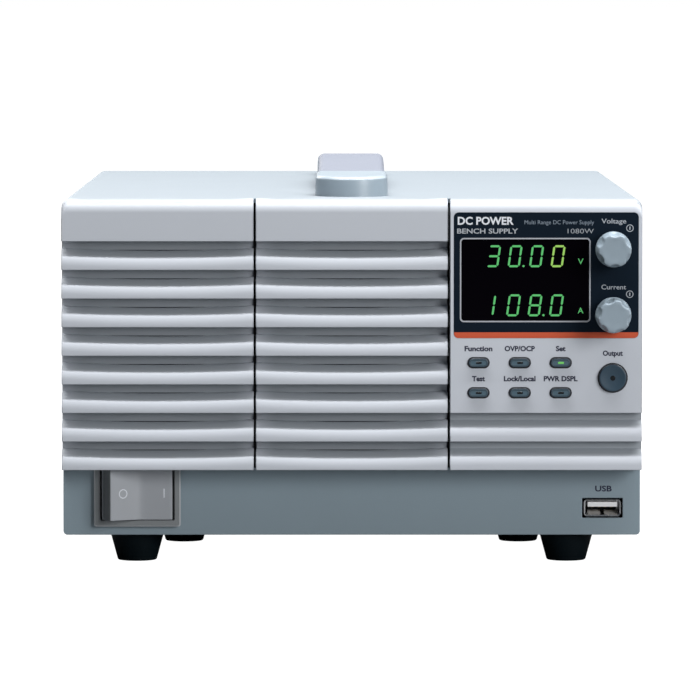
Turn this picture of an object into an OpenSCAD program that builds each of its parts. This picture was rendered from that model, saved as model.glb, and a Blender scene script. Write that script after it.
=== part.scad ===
// Bench power supply: three forced-air power modules side by side in one sheet metal case.
// Millimetres. +X is right and +Z up as seen from the front; the front faces -Y.
// The origin is at the middle of the whole object's outline, on the table.

/* [Case] */
// Width of the case
case_w = 214; // [212:1:216]
// Height of the case without its feet
case_h = 125; // [124:1:126]
// Depth from the face of the front mouldings to the rear panel
case_d = 350; // [345:5:380]
// Height of a rubber foot
foot_h = 10.3; // [9:0.1:14]
// Thickness of the cover and tray sheet
sheet = 1.2; // [1:0.1:1.4]
// Thickness of the front and rear panels
panel_t = 1.5; // [1.2:0.1:1.5]
// Bend radius along the top edges
top_round = 3; // [2.5:0.5:4]

/* [Front mouldings] */
// Depth of the mouldings in front of the front panel
bezel_d = 12; // [12:0.5:14]
// Height of the mouldings
bezel_h = 100; // [100:0.5:101]
// Gap between neighbouring mouldings
bezel_gap = 0.8; // [0.6:0.1:1]
// Wall of the mouldings at their edges
bezel_wall = 2; // [1.8:0.1:2.2]
// Distance from one flute to the next
flute_pitch = 10.56; // [10.5:0.02:10.6]
// Depth of the air intake flutes
flute_depth = 6; // [5:0.5:6.5]
// Number of flutes in an air intake grille
flute_count = 8; // [7:1:8]
// Radius of the rolled top of each slat
slat_roll_r = 7; // [6.5:0.25:7.5]

/* [Controls] */
// Diameter of a knob
knob_d = 13.2; // [12:0.2:14]
// How far a knob stands in front of the mouldings
knob_reach = 14.5; // [13:0.5:16]
// Push travel of a knob
knob_push = 0.5; // [0.4:0.1:0.5]
// Width of a key
key_w = 8; // [7.6:0.1:8.4]
// Height of a key
key_h = 3.9; // [3.6:0.1:4.2]
// How far a key stands in front of its panel
key_proud = 1; // [0.8:0.1:1.4]
// Diameter of the output button
button_d = 11; // [10:0.5:12]

/* [Power switch] */
// Swing of the rocker from on to off, in degrees
rocker_swing = 28.7; // [24:0.1:28.7]
// Radius of the rocker's ends about its pivot
rocker_r = 13.44; // [13.2:0.02:13.5]

/* [Handle] */
// Width of the handle's end caps at their foot
cap_w = 27.8; // [27:0.2:30]
// Height of the crown of the strap above the cover
strap_crown = 12; // [11.5:0.5:14]
// Thickness of the strap
strap_t = 4.3; // [3.8:0.1:4.3]
// Width of the strap
strap_w = 25; // [24:0.5:25]

/* [Rear] */
// Width and height of a fan
fan_size = 60; // [60:0.5:60]
// How far the terminal cover stands behind the rear panel
cover_reach = 33; // [32:0.5:36]
// Diameter of the bolt hole in each output bus bar
bar_hole_d = 8.5; // [8.2:0.1:9]

/* [Hidden] */
$fn = 48;

// Main planes
face_y = knob_reach - (knob_reach + case_d + cover_reach) / 2; // face of the front mouldings
panel_y = face_y + bezel_d;    // front face of the front panel
inner_y = panel_y + panel_t;   // inside face of the front panel
rear_y = face_y + case_d;      // outer face of the rear panel
back_y = rear_y - panel_t;     // inside face of the rear panel
base_z = foot_h;               // underside of the case
floor_z = base_z + sheet;      // inside of the tray's floor
top_z = base_z + case_h;       // top of the case
bezel_z = top_z - bezel_h;     // underside of the mouldings
bezel_w = (case_w - 2 * bezel_gap) / 3;
module_x = [-(bezel_w + bezel_gap), 0, bezel_w + bezel_gap];
control_x = module_x[2];
low_round = 1.5;                // round at the lower corners of the front panel, where the cover ends
fit = 0.15;                    // clearance of a moving piece in its opening
over = 1;                      // how far a cutting shape runs past what it cuts

// Flutes
flute_sag = 0.4;               // how far a slat's roll centre lies below its lower edge
vent_h = 1.2;
vent_w = 60;
pocket_t = 8;                  // where the hollow back of a grille begins
plain_flute_depth = 4;
plain_roll_r = 7.5;
plain_flute_count = 2;

// Control panel, measured on the moulding
overlay_w = 68.2;
overlay_h = 46.5;
overlay_z = top_z - 28.05;     // centre
overlay_t = 0.4;
window_w = 48.3;
window_h = 31.5;
window_x = control_x - 7.7;
window_z = top_z - 30;
window_t = 2.1;
control_wall = 3;
control_floor_z = bezel_z + 22.5;
board_t0 = 9.4;                // front face of the control board behind the moulding's face
board_t = 1.6;
digit_rows = [top_z - 21, top_z - 39.1];
knob_x = 96.3;
knob_rows = [top_z - 18.4, top_z - 42.6];
knob_turns = [25, 39];         // how far each knob is turned at rest, in degrees
knob_gap = 1;                  // gap between a knob's skirt and the panel
shaft_r = 3;
running = 0.05;                // running clearance on a radius
key_columns = [46.7, 61.9, 77.0];
key_rows = [top_z - 60.3, top_z - 71.4];
key_travel = 0.6;
button_x = 96.2;
button_z = top_z - 65.9;
button_travel = 0.8;
switch_t0 = 5.5;               // front of a tact switch behind the moulding's face
flange_t = [3.1, 4.1];         // a key's retaining flange, front and back

// Power switch
switch_x = -79.5;
switch_z = base_z + 15.7;
switch_frame = [32.1, 25, 2];
switch_opening = [27.4, 20.2];
switch_body = [29.6, 21.8];
rocker_pivot_t = 3;            // pivot behind the frame's face
rocker_valley = 3.61;          // middle of the rocker's face in front of its pivot
rocker_tip_x = 11.7;
rocker_rise = sqrt(rocker_r ^ 2 - rocker_tip_x ^ 2) - rocker_valley; // its tips in front of its middle
rocker_back = 2;
rocker_h = 19.8;
pin_r = 1.8;

// USB socket
usb_x = 93;
usb_z = base_z + 10;
usb_cutout = [15, 7.3];

// Handle
handle_mid_y = face_y + 175;
handle_half = 150;             // middle of the handle to the outer end of a cap
cap_len = 37;
cap_front_h = 7.3;
cap_mouth_h = 8.6;
cap_solid = 27;                // solid length of a cap behind its outer end
strap_lift = 0.8;              // underside of the strap's ends above the cover
strap_pivot = handle_half - 31; // middle of the handle to the strap's bending line
strap_tail = [3, 3];           // strap beyond that line, at the front and at the rear
strap_pin_r = 1.2;
strap_gap = 1;                 // between the two halves of the strap

// Feet
foot_places = [for (s = [-1, 1])
    each [[80 * s, face_y + 25], [64.4 * s, face_y + 105], [80 * s, face_y + 325]]];
foot_top_r = 10.1;
foot_bottom_r = 7.4;
foot_screw_z = 6;

// Fans
fan_z = top_z - 39;
fan_d = 25;
fan_duct_r = 28;
fan_blade_r = 26.8;
fan_hole = 25;                 // screw holes off the fan's centre
fan_y = back_y - fan_d;        // front face of the fans

// Output terminals
terminal_x = 58.5;
terminal_z = base_z + 26;
bar_x = [terminal_x + 15, terminal_x - 15];
bar_w = 22;
bar_t = 5;
bar_end_y = rear_y + 28;
bar_hole_y = rear_y + 18;
block = [70, 34, 8];
cover_wall = 2;

// Other rear connectors; a body is its width and its height
inlet_body = [31.6, 24.6];
lan_body = [15.8, 13.3];
usb_b_body = [11.8, 10.8];
analog_body = [39.6, 8.6];
inlet_x = -76;
inlet_z = base_z + 27;
lan_x = -38;
lan_z = base_z + 38;
usb_b_z = base_z + 16;
analog_x = -4;
analog_rows = [base_z + 40, base_z + 22];
ground_x = 15;
ground_z = base_z + 12;

// Inside
tray_flange = 14;              // height of the tray's upturned edges
board_z = base_z + 8;          // underside of the power boards
board_size = [60, 246, 1.6];
board_y = inner_y + 28;        // front edge of the power boards
board_top = board_z + board_size[2];
fin_h = 60;
cover_screw_y = [face_y + 45, face_y + 180, face_y + 315];
cover_screw_z = base_z + 10;
rear_screw_x = 99;
rear_screw_z = [base_z + 8, top_z - 5];

// ---- Shapes used by several pieces ----

// A box between two corners
module block(x, y, z) translate([x[0], y[0], z[0]]) cube([x[1] - x[0], y[1] - y[0], z[1] - z[0]]);

// Children, drawn in X and Z, made solid between two values of Y
module along_y(y) translate([0, y[1], 0]) rotate([90, 0, 0]) linear_extrude(y[1] - y[0]) children();

// Children, drawn in Y and Z, made solid between two values of X
module along_x(x) translate([x[0], 0, 0]) rotate([90, 0, 90]) linear_extrude(x[1] - x[0]) children();

module rod_x(x, y, z, r) translate([x[0], y, z]) rotate([0, 90, 0]) cylinder(h = x[1] - x[0], r = r);
module rod_y(x, y, z, r) translate([x, y[1], z]) rotate([90, 0, 0]) cylinder(h = y[1] - y[0], r = r);
module rod_z(x, y, z, r) translate([x, y, z[0]]) cylinder(h = z[1] - z[0], r = r);

// A round profile of [radius, y] points turned about an axis along Y
module turned_y(x, z, points) translate([x, 0, z]) rotate([-90, 0, 0]) rotate_extrude() polygon(points);

// A rectangle with round corners, about its centre
module rounded(size, r) {
    square([size[0] - 2 * r, size[1]], center = true);
    square([size[0], size[1] - 2 * r], center = true);
    for (x = [-1, 1], z = [-1, 1])
        translate([x * (size[0] / 2 - r), z * (size[1] / 2 - r)]) circle(r);
}

// The front view of the case: square below and round at its two top corners
module case_outline(w, z, r) {
    translate([-w / 2, z[0]]) square([w, z[1] - z[0] - r]);
    translate([r - w / 2, z[0]]) square([w - 2 * r, z[1] - z[0]]);
    for (s = [-1, 1]) translate([s * (w / 2 - r), z[1] - r]) circle(r);
}

// A pan head screw along -Y, its head's seat at y
module pan_screw(x, y, z, shank, len) {
    difference() {
        union() {
            rod_y(x, [y, y + 0.7 * shank], z, 0.95 * shank);
            rod_y(x, [y - len, y], z, shank / 2);
        }
        for (w = [[1.1, 0.3], [0.3, 1.1]] * shank / 2)
            block([x - w[0], x + w[0]], [y + 0.3 * shank, y + shank], [z - w[1], z + w[1]]);
    }
}

// ---- Case ----

module chassis_tray() color([0.72, 0.74, 0.75]) difference() {
    inside = case_w / 2 - sheet;
    union() {
        block([-inside, inside], [inner_y, back_y], [base_z, floor_z]);
        for (y = [inner_y, back_y - sheet])
            block([-inside, inside], [y, y + sheet], [base_z, base_z + tray_flange]);
        for (x = [-inside, inside - sheet])
            block([x, x + sheet], [inner_y, back_y], [base_z, base_z + tray_flange]);
        for (p = standoff_places()) rod_z(p[0], p[1], [base_z, board_z], 3);
    }
    for (p = foot_places) rod_z(p[0], p[1], [base_z - over, floor_z + over], 2.05);
    for (y = cover_screw_y) rod_x([-case_w, case_w], y, cover_screw_z, 1.55);
    for (x = [-1, 1] * rear_screw_x) rod_y(x, [back_y - 5, back_y + over], rear_screw_z[0], 1.55);
    block([ground_x - 6, ground_x + 6], [back_y - 5, back_y + over], [ground_z - 6, top_z]);
    switch_passage();
    usb_passage();
    for (x = bar_x)
        block([x - bar_w / 2 - 4, x + bar_w / 2 + 4], [back_y - 5, back_y + over], [base_z + 12, top_z]);
    block([inlet_x - 18, inlet_x + 18], [back_y - 5, back_y + over], [inlet_z - 14.5, top_z]);
    block([lan_x - 9, lan_x + 9], [back_y - 5, back_y + over], [base_z + 9, top_z]);
}

// Where the switch body passes the front panel and the tray
module switch_passage()
    block([switch_x - switch_body[0] / 2, switch_x + switch_body[0] / 2], [panel_y - over, inner_y + 5],
        [switch_z - switch_body[1] / 2, switch_z + switch_body[1] / 2]);

module usb_passage()
    block([usb_x - usb_cutout[0] / 2, usb_x + usb_cutout[0] / 2], [panel_y - over, inner_y + 5],
        [usb_z - usb_cutout[1] / 2, usb_z + usb_cutout[1] / 2]);

function standoff_places() = [for (m = module_x, dx = [-26, 26], dy = [6, board_size[1] - 6])
    [m + dx, board_y + dy]];

module front_panel() color([0.42, 0.47, 0.50]) difference() {
    along_y([panel_y, inner_y]) {
        case_outline(case_w, [base_z + low_round, top_z], top_round);
        translate([0, base_z + case_h / 4]) rounded([case_w, case_h / 2], low_round);
    }
    switch_passage();
    usb_passage();
    // air windows behind the two grilles, and the passage for the control board's ribbon
    for (m = [module_x[0], module_x[1]], dx = [-17, 17], dz = [0 : 2])
        block([m + dx - 14, m + dx + 14], [panel_y - over, inner_y + over],
            [bezel_z + 14 + 28 * dz, bezel_z + 36 + 28 * dz]);
    block([control_x - 16, control_x + 16], [panel_y - over, inner_y + over], [bezel_z + 24, bezel_z + 30]);
}

module rear_panel() color([0.42, 0.47, 0.50]) difference() {
    through = [back_y - over, rear_y + over];
    along_y([back_y, rear_y]) case_outline(case_w, [base_z, top_z], top_round);
    for (m = module_x) {
        rod_y(m, through, fan_z, fan_duct_r - 1);
        for (dx = [-1, 1], dz = [-1, 1]) rod_y(m + dx * fan_hole, through, fan_z + dz * fan_hole, 2.1);
    }
    for (x = [-1, 1] * rear_screw_x, z = rear_screw_z) rod_y(x, through, z, 1.6);
    for (x = bar_x)
        block([x - bar_w / 2 - 1.5, x + bar_w / 2 + 1.5], through, [terminal_z - 4, terminal_z + 4]);
    connector_hole(inlet_x, inlet_z, inlet_body);
    connector_hole(lan_x, lan_z, lan_body);
    connector_hole(lan_x, usb_b_z, usb_b_body);
    for (z = analog_rows) connector_hole(analog_x, z, analog_body);
    rod_y(ground_x, through, ground_z, 2.05);
}

// A hole in the rear panel that fits a connector's body
module connector_hole(x, z, body)
    block([x - body[0] / 2, x + body[0] / 2], [back_y - over, rear_y + over],
        [z - body[1] / 2, z + body[1] / 2]);

module top_cover() color([0.66, 0.72, 0.76]) difference() {
    inner_w = case_w - 2 * sheet;
    union() {
        along_y([inner_y, back_y]) difference() {
            case_outline(case_w, [base_z + low_round, top_z], top_round);
            case_outline(inner_w, [base_z - over, top_z - sheet], top_round - sheet);
        }
        block([-inner_w / 2, inner_w / 2] * 0.97, [back_y - sheet, back_y], [top_z - 8, top_z - sheet]);
    }
    for (s = [-1, 1], y = cover_screw_y) countersunk(s, y, fit / 2);
    for (p = handle_screw_places()) rod_z(0, p, [top_z - 5, top_z + over], 2.1);
    for (x = [-1, 1] * rear_screw_x) rod_y(x, [back_y - 5, back_y + over], rear_screw_z[1], 1.6);
}

// Head and shank of a countersunk cover screw in the side s of the case, grown by gap
module countersunk(s, y, gap) translate([s * case_w / 2, y, cover_screw_z]) rotate([0, -90 * s, 0]) {
    cylinder(h = sheet, r1 = 2.9 + gap, r2 = 1.5 + gap);
    cylinder(h = 4.5, r = 1.5 + gap);
}

module rubber_feet() color([0.05, 0.06, 0.07]) for (p = foot_places) translate([p[0], p[1], 0])
    rotate_extrude() polygon([
        [4, 0], [foot_bottom_r - 0.6, 0], [foot_bottom_r, 0.6], [foot_top_r, foot_h],
        [2.2, foot_h], [2.2, foot_screw_z], [4, foot_screw_z]
    ]);

module case_screws() color([0.7, 0.7, 0.72]) {
    for (p = foot_places) translate([p[0], p[1], 0]) difference() {
        union() {
            translate([0, 0, foot_screw_z - 2.4]) cylinder(h = 2.4, r = 3.6);
            translate([0, 0, foot_screw_z]) cylinder(h = floor_z + 2 - foot_screw_z, r = 2);
        }
        for (w = [[2, 0.5], [0.5, 2]]) block([-w[0], w[0]], [-w[1], w[1]], [0, foot_screw_z - 1.2]);
    }
    for (s = [-1, 1], y = cover_screw_y) difference() {
        countersunk(s, y, 0);
        for (w = [[1.6, 0.35], [0.35, 1.6]])
            block(s > 0 ? [case_w / 2 - 0.8, case_w] : [-case_w, 0.8 - case_w / 2],
                [y - w[0], y + w[0]], [cover_screw_z - w[1], cover_screw_z + w[1]]);
    }
}

module rear_screws() color([0.75, 0.75, 0.77]) {
    for (x = [-1, 1] * rear_screw_x, z = rear_screw_z) pan_screw(x, rear_y, z, 3, 6);
    for (m = module_x, dx = [-1, 1], dz = [-1, 1])
        pan_screw(m + dx * fan_hole, rear_y + 1.2, fan_z + dz * fan_hole, 3.6, 9);
}

// ---- Front mouldings ----

// The block that a moulding is cut from, round along its top front edge and at the case's corners
module moulding(cx) intersection() {
    r = top_round + 0.3;
    along_x([cx - bezel_w / 2, cx + bezel_w / 2]) {
        translate([face_y, bezel_z]) square([bezel_d, bezel_h - r]);
        translate([face_y + r, bezel_z]) square([bezel_d - r, bezel_h]);
        translate([face_y + r, top_z - r]) circle(r);
    }
    along_y([face_y - over, panel_y + over]) case_outline(case_w, [base_z, top_z], top_round);
}

// A flute: a straight recess down to the rolled top of the slat below it
module flute(cx, z_top, depth, roll_r) difference() {
    z_low = z_top - flute_pitch;
    x = [cx - bezel_w / 2 - over, cx + bezel_w / 2 + over];
    block(x, [face_y - over, face_y + depth], [z_low, z_top]);
    rod_x(x + [-over, over], face_y + roll_r, z_low - flute_sag, roll_r);
}

module grille(cx) difference() {
    inside = bezel_w / 2 - bezel_wall;
    moulding(cx);
    for (i = [1 : flute_count]) {
        z_top = bezel_z + i * flute_pitch;
        vent_z = z_top - flute_pitch + slat_roll_r - flute_sag;
        flute(cx, z_top, flute_depth, slat_roll_r);
        block([cx - vent_w / 2, cx + vent_w / 2], [face_y + flute_depth - 0.5, face_y + pocket_t + over],
            [vent_z - vent_h / 3, vent_z + 2 * vent_h / 3]);
    }
    block([cx - inside, cx + inside], [face_y + pocket_t, panel_y + over],
        [bezel_z + bezel_wall, top_z - bezel_wall]);
}

module left_grille() color([0.74, 0.76, 0.79]) difference() {
    grille(module_x[0]);
    // reliefs behind the lowest slat for the rocker and for the switch's frame
    block([switch_x - 17, switch_x + 17], [face_y + 2.5, panel_y + over], [bezel_z - over, switch_z + 10.4]);
    block([switch_x - 17, switch_x + 17], [face_y + 9, panel_y + over], [bezel_z - over, switch_z + 12.9]);
}

module middle_grille() color([0.74, 0.76, 0.79]) grille(module_x[1]);

module display_opening(size, t) translate([window_x, 0, window_z])
    block([-size[0] / 2, size[0] / 2], [face_y + t[0], face_y + t[1]], [-size[1] / 2, size[1] / 2]);

module key_opening(x, z, grow) translate([x, 0, z]) along_y([face_y - 3, face_y + 5])
    rounded([key_w + grow, key_h + grow], 1.95);

module control_bezel() color([0.74, 0.76, 0.79]) difference() {
    inside = [control_x - bezel_w / 2 + bezel_wall, control_x + bezel_w / 2 - bezel_wall];
    moulding(control_x);
    for (i = [1 : plain_flute_count])
        flute(control_x, bezel_z + i * flute_pitch, plain_flute_depth, plain_roll_r);
    translate([control_x, 0, overlay_z]) along_y([face_y - over, face_y + overlay_t])
        rounded([overlay_w, overlay_h], 1.8);
    display_opening([window_w - 1, window_h - 1], [-over, window_t]);
    display_opening([window_w - 4, window_h - 4], [-over, 5]);
    for (z = knob_rows) rod_y(knob_x, [face_y - over, face_y + 5], z, 3.6);
    for (x = key_columns, z = key_rows) key_opening(x, z, 2 * fit);
    rod_y(button_x, [face_y - over, face_y + 5], button_z, button_d / 2 + fit);
    block(inside, [face_y + control_wall, panel_y + over], [control_floor_z, top_z - bezel_wall - 1.5]);
    block(inside, [face_y + pocket_t, panel_y + over], [bezel_z + bezel_wall, control_floor_z]);
}

module panel_overlay() color([0.05, 0.08, 0.12]) difference() {
    translate([control_x, 0, overlay_z]) along_y([face_y, face_y + overlay_t])
        rounded([overlay_w - 0.2, overlay_h - 0.2], 1.7);
    display_opening([window_w - 1, window_h - 1], [-over, 2]);
    for (z = knob_rows) rod_y(knob_x, [face_y - over, face_y + 2], z, 3.7);
}

module display_window() color([0.02, 0.02, 0.03, 0.6])
    display_opening([window_w - 1.2, window_h - 1.2], [0.1, window_t]);

// ---- Controls ----

// A four digit lamp block with its digits' cells sunk in its face
module display_module(z) difference() {
    block([window_x - 21, window_x + 22], [face_y + control_wall, face_y + board_t0], [z - 6.6, z + 6.6]);
    for (i = [0 : 3]) translate([window_x - 12.4 + 7.9 * i, 0, z])
        block([-3, 3], [face_y + control_wall - over, face_y + control_wall + 0.4], [-4.3, 4.3]);
}

module voltage_display() color([0.1, 0.1, 0.1]) display_module(digit_rows[0]);
module current_display() color([0.1, 0.1, 0.1]) display_module(digit_rows[1]);

module control_board() color([0.05, 0.32, 0.18])
    block([control_x - 33, control_x + 33], [face_y + board_t0, face_y + board_t0 + board_t],
        [control_floor_z + 1, top_z - 5]);

module key_switches() color([0.12, 0.12, 0.13]) {
    for (x = key_columns, z = key_rows)
        block([x - 3, x + 3], [face_y + switch_t0, face_y + board_t0], [z - 3, z + 3]);
    block([button_x - 4, button_x + 4], [face_y + switch_t0, face_y + board_t0],
        [button_z - 4, button_z + 4]);
}

// Square housings of the two rotary encoders, bored for the shaft and hollow for the push plunger
module encoder_bodies() color([0.6, 0.6, 0.62]) for (z = knob_rows) difference() {
    block([knob_x - 6.2, knob_x + 6.2], [face_y + control_wall, face_y + board_t0], [z - 6.2, z + 6.2]);
    rod_y(knob_x, [face_y, face_y + 7], z, shaft_r + running);
    rod_y(knob_x, [face_y + 5.6, face_y + 8.6], z, 4);
}

module key(column, row) color([0.24, 0.29, 0.33]) {
    x = key_columns[column];
    z = key_rows[row];
    translate([x, 0, z]) along_y([face_y - key_proud, face_y + switch_t0 - key_travel - 0.1])
        rounded([key_w, key_h], 1.8);
    translate([x, 0, z]) along_y(face_y * [1, 1] + flange_t) rounded([key_w + 1.6, key_h + 1.6], 2.5);
}

module function_key() key(0, 0);
module protection_key() key(1, 0);
module set_key() key(2, 0);
module test_key() key(0, 1);
module lock_key() key(1, 1);
module display_key() key(2, 1);

module output_button() color([0.24, 0.29, 0.33]) turned_y(button_x, button_z, [
    [0, face_y - 1.2], [3.5, face_y - 1.3], [button_d / 2 - 0.5, face_y - 1.6], [button_d / 2, face_y - 1.1],
    [button_d / 2, face_y + flange_t[0]], [button_d / 2 + 1.1, face_y + flange_t[0]],
    [button_d / 2 + 1.1, face_y + flange_t[1]], [3, face_y + flange_t[1]],
    [3, face_y + switch_t0 - button_travel - 0.1], [0, face_y + switch_t0 - button_travel - 0.1]
]);

// A knob with a round skirt and a body with finger flutes
module knob(row) color([0.62, 0.68, 0.72]) difference() {
    r = knob_d / 2;
    z = knob_rows[row];
    turned_y(knob_x, z, [
        [0, face_y - knob_reach], [r - 1.7, face_y - knob_reach], [r - 0.9, face_y - knob_reach + 0.7],
        [r - 0.25, face_y - 3.4], [r, face_y - 3.2], [r, face_y - knob_gap], [0, face_y - knob_gap]
    ]);
    rod_y(knob_x, [face_y - knob_reach + 3, face_y], z, shaft_r);
    for (i = [0 : 5]) {
        turn = 60 * i + knob_turns[row];
        rod_y(knob_x + (r + 1.5) * cos(turn), [face_y - knob_reach - over, face_y - 3.4],
            z + (r + 1.5) * sin(turn), 2.6);
    }
}

module knob_shaft(z) color([0.7, 0.7, 0.68])
    rod_y(knob_x, [face_y - knob_reach + 3, face_y + 6.4], z, shaft_r);
module push_plunger(z) color([0.85, 0.83, 0.78]) rod_y(knob_x, [face_y + 6.45, face_y + 7.7], z, 3.7);

module voltage_knob() knob(0);
module voltage_shaft() knob_shaft(knob_rows[0]);
module voltage_plunger() push_plunger(knob_rows[0]);
module current_knob() knob(1);
module current_shaft() knob_shaft(knob_rows[1]);
module current_plunger() push_plunger(knob_rows[1]);

// ---- Power switch and front USB socket ----

module switch_housing() color([0.33, 0.35, 0.36]) translate([switch_x, 0, switch_z]) difference() {
    frame_y = panel_y - switch_frame[2];
    union() {
        along_y([frame_y, panel_y]) rounded([switch_frame[0], switch_frame[1]], 0.8);
        block([-1, 1] * switch_body[0] / 2, [panel_y, panel_y + 22], [-1, 1] * switch_body[1] / 2);
    }
    block([-1, 1] * switch_opening[0] / 2, [frame_y - over, panel_y + 12], [-1, 1] * switch_opening[1] / 2);
    rod_z(0, frame_y + rocker_pivot_t, [-1, 1] * (switch_body[1] / 2 + over), pin_r + running);
}

module power_rocker() color([0.45, 0.47, 0.50])
    translate([switch_x, panel_y - switch_frame[2] + rocker_pivot_t, switch_z])
    rotate([0, 0, rocker_swing / 2]) {
        translate([0, 0, -rocker_h / 2]) linear_extrude(rocker_h) intersection() {
            circle(rocker_r);
            polygon([
                [0, -rocker_valley], 1.5 * [rocker_tip_x, -rocker_rise] - [0, rocker_valley],
                [20, rocker_back],
                [-20, rocker_back], 1.5 * [-rocker_tip_x, -rocker_rise] - [0, rocker_valley]
            ]);
        }
        rod_z(0, 0, [-1, 1] * (switch_body[1] / 2 - 0.1), pin_r);
    }

module usb_shell() color([0.8, 0.8, 0.8]) translate([usb_x, 0, usb_z]) difference() {
    union() {
        along_y([panel_y - 0.3, panel_y + 0.3]) rounded(usb_cutout, 0.8);
        block([-6.9, 6.9], [panel_y, panel_y + 15], [-3, 3]);
    }
    block([-6.5, 6.5], [panel_y - over, panel_y + 13], [-2.6, 2.6]);
}

module usb_tongue() color([0.92, 0.92, 0.92]) translate([usb_x, 0, usb_z]) {
    block([-5.6, 5.6], [panel_y + 1.4, panel_y + 13], [0.3, 2.2]);
}

// ---- Handle ----

function handle_screw_places() = [for (s = [-1, 1], d = [6, 19]) handle_mid_y + s * (handle_half - d)];

// An end cap, s = -1 at the front and 1 at the rear: round and solid at its outer end, open for the strap
module handle_cap(s) color([0.52, 0.59, 0.64]) difference() {
    outer = handle_half;
    mouth = handle_half - cap_len;
    throat = [for (d = [cap_len + over, cap_solid]) handle_mid_y + s * (handle_half - d)];
    intersection() {
        translate([0, handle_mid_y, top_z]) along_x([-cap_w, cap_w]) polygon([
            [s * outer, 0], [s * outer, cap_front_h - 1], [s * (outer - 1), cap_front_h],
            [s * mouth, cap_mouth_h], [s * mouth, 0]
        ]);
        translate([0, handle_mid_y, top_z]) linear_extrude(cap_mouth_h + over) {
            translate([0, s * (outer - cap_w / 2)]) circle(cap_w / 2);
            translate([-cap_w / 2, s > 0 ? mouth : cap_w / 2 - outer]) square([cap_w, cap_len - cap_w / 2]);
        }
    }
    block([-strap_w / 2 - 0.4, strap_w / 2 + 0.4], [min(throat), max(throat)],
        [top_z + 0.2, top_z + strap_lift + strap_t + 1.9]);
    for (d = [6, 19]) rod_z(0, handle_mid_y + s * (handle_half - d), [top_z - over, top_z + 5], 1.75);
}

module handle_front_cap() difference() {
    handle_cap(-1);
    strap_pin(running);
}

module handle_rear_cap() handle_cap(1);

// Height of the strap's underside above the cover at a distance from the handle's middle
function strap_z(d) = strap_lift + (strap_crown - strap_t - strap_lift)
    * (d > handle_half - cap_len ? 0 : (1 + cos(180 * d / (handle_half - cap_len))) / 2);

// The pin that the strap's front end turns on
module strap_pin(gap) rod_x([-strap_w / 2 - 1, strap_w / 2 + 1], handle_mid_y - strap_pivot,
    top_z + strap_lift + strap_t / 2, strap_pin_r + gap);

// Half of the strap, s = -1 at the front and 1 at the rear
module strap_half(s, tail) color([0.80, 0.82, 0.87]) {
    steps = 20;
    reach = strap_pivot + tail;
    ds = [for (i = [0 : steps]) strap_gap / 2 + (reach - strap_gap / 2) * i / steps];
    translate([0, handle_mid_y, top_z]) along_x([-strap_w / 2, strap_w / 2]) polygon(concat(
        [for (d = ds) [s * d, strap_z(d)]],
        [for (i = [steps : -1 : 0]) [s * ds[i], strap_z(ds[i]) + strap_t]]
    ));
}

module handle_strap_front() difference() {
    strap_half(-1, strap_tail[0]);
    strap_pin(running);
}

module handle_strap_rear() strap_half(1, strap_tail[1]);

module handle_fasteners() color([0.7, 0.7, 0.72]) {
    strap_pin(0);
    for (y = handle_screw_places()) {
        rod_z(0, y, [top_z - sheet - 2.4, top_z - sheet], 3.6);
        rod_z(0, y, [top_z - sheet, top_z + 4.6], 1.7);
    }
}

// ---- Fans ----

module fan_frames() color([0.08, 0.08, 0.09]) for (m = module_x) difference() {
    union() {
        difference() {
            translate([m, 0, fan_z]) along_y([fan_y, back_y]) rounded([fan_size, fan_size], 3);
            rod_y(m, [fan_y - over, back_y + over], fan_z, fan_duct_r);
        }
        rod_y(m, [back_y - 3, back_y], fan_z, 12);
        rod_y(m, [back_y - 15, back_y - 3], fan_z, 3.6);
        translate([m, 0, fan_z]) for (a = [45 : 90 : 315]) rotate([0, a, 0])
            block([10, fan_duct_r + 0.6], [back_y - 2.5, back_y - 0.5], [-2, 2]);
    }
    rod_y(m, [back_y - 16, back_y - 1.5], fan_z, 1.5 + running);
    for (dx = [-1, 1], dz = [-1, 1])
        rod_y(m + dx * fan_hole, [fan_y - over, back_y + over], fan_z + dz * fan_hole, 1.85);
}

module fan_rotor(m) color([0.10, 0.10, 0.11]) {
    cup = [fan_y + 2, back_y - 3.6];
    blades = 7;
    difference() {
        rod_y(m, cup, fan_z, 13);
        rod_y(m, [cup[0] + 2.5, cup[1] + over], fan_z, 11.6);
    }
    rod_y(m, [cup[0] + 2, back_y - 4], fan_z, 1.5);
    intersection() {
        difference() {
            rod_y(m, [cup[0], cup[1] - 1], fan_z, fan_blade_r);
            rod_y(m, [cup[0] - over, cup[1]], fan_z, 12.6);
        }
        translate([m, (cup[0] + cup[1]) / 2, fan_z]) for (i = [0 : blades - 1])
            rotate([0, 360 * i / blades, 0]) rotate([-52, 0, 0])
                translate([11, -14, -0.8]) cube([17, 28, 1.6]);
    }
}

module left_fan_rotor() fan_rotor(module_x[0]);
module middle_fan_rotor() fan_rotor(module_x[1]);
module right_fan_rotor() fan_rotor(module_x[2]);

// Finger guards outside the rear panel: rings held by a cross that ends in the screw eyes
module fan_guards() color([0.7, 0.7, 0.72]) for (m = module_x) difference() {
    translate([m, 0, fan_z]) along_y([rear_y, rear_y + 1.2]) {
        for (r = [7, 14, 21, 27.5]) difference() {
            circle(r);
            circle(r - 1.6);
        }
        for (a = [45, 135]) rotate(a) square([2 * fan_hole * sqrt(2), 1.8], center = true);
        for (dx = [-1, 1], dz = [-1, 1]) translate([dx, dz] * fan_hole) circle(3.6);
    }
    for (dx = [-1, 1], dz = [-1, 1])
        rod_y(m + dx * fan_hole, [rear_y - over, rear_y + 2], fan_z + dz * fan_hole, 1.9);
}

// ---- Output terminals ----

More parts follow.
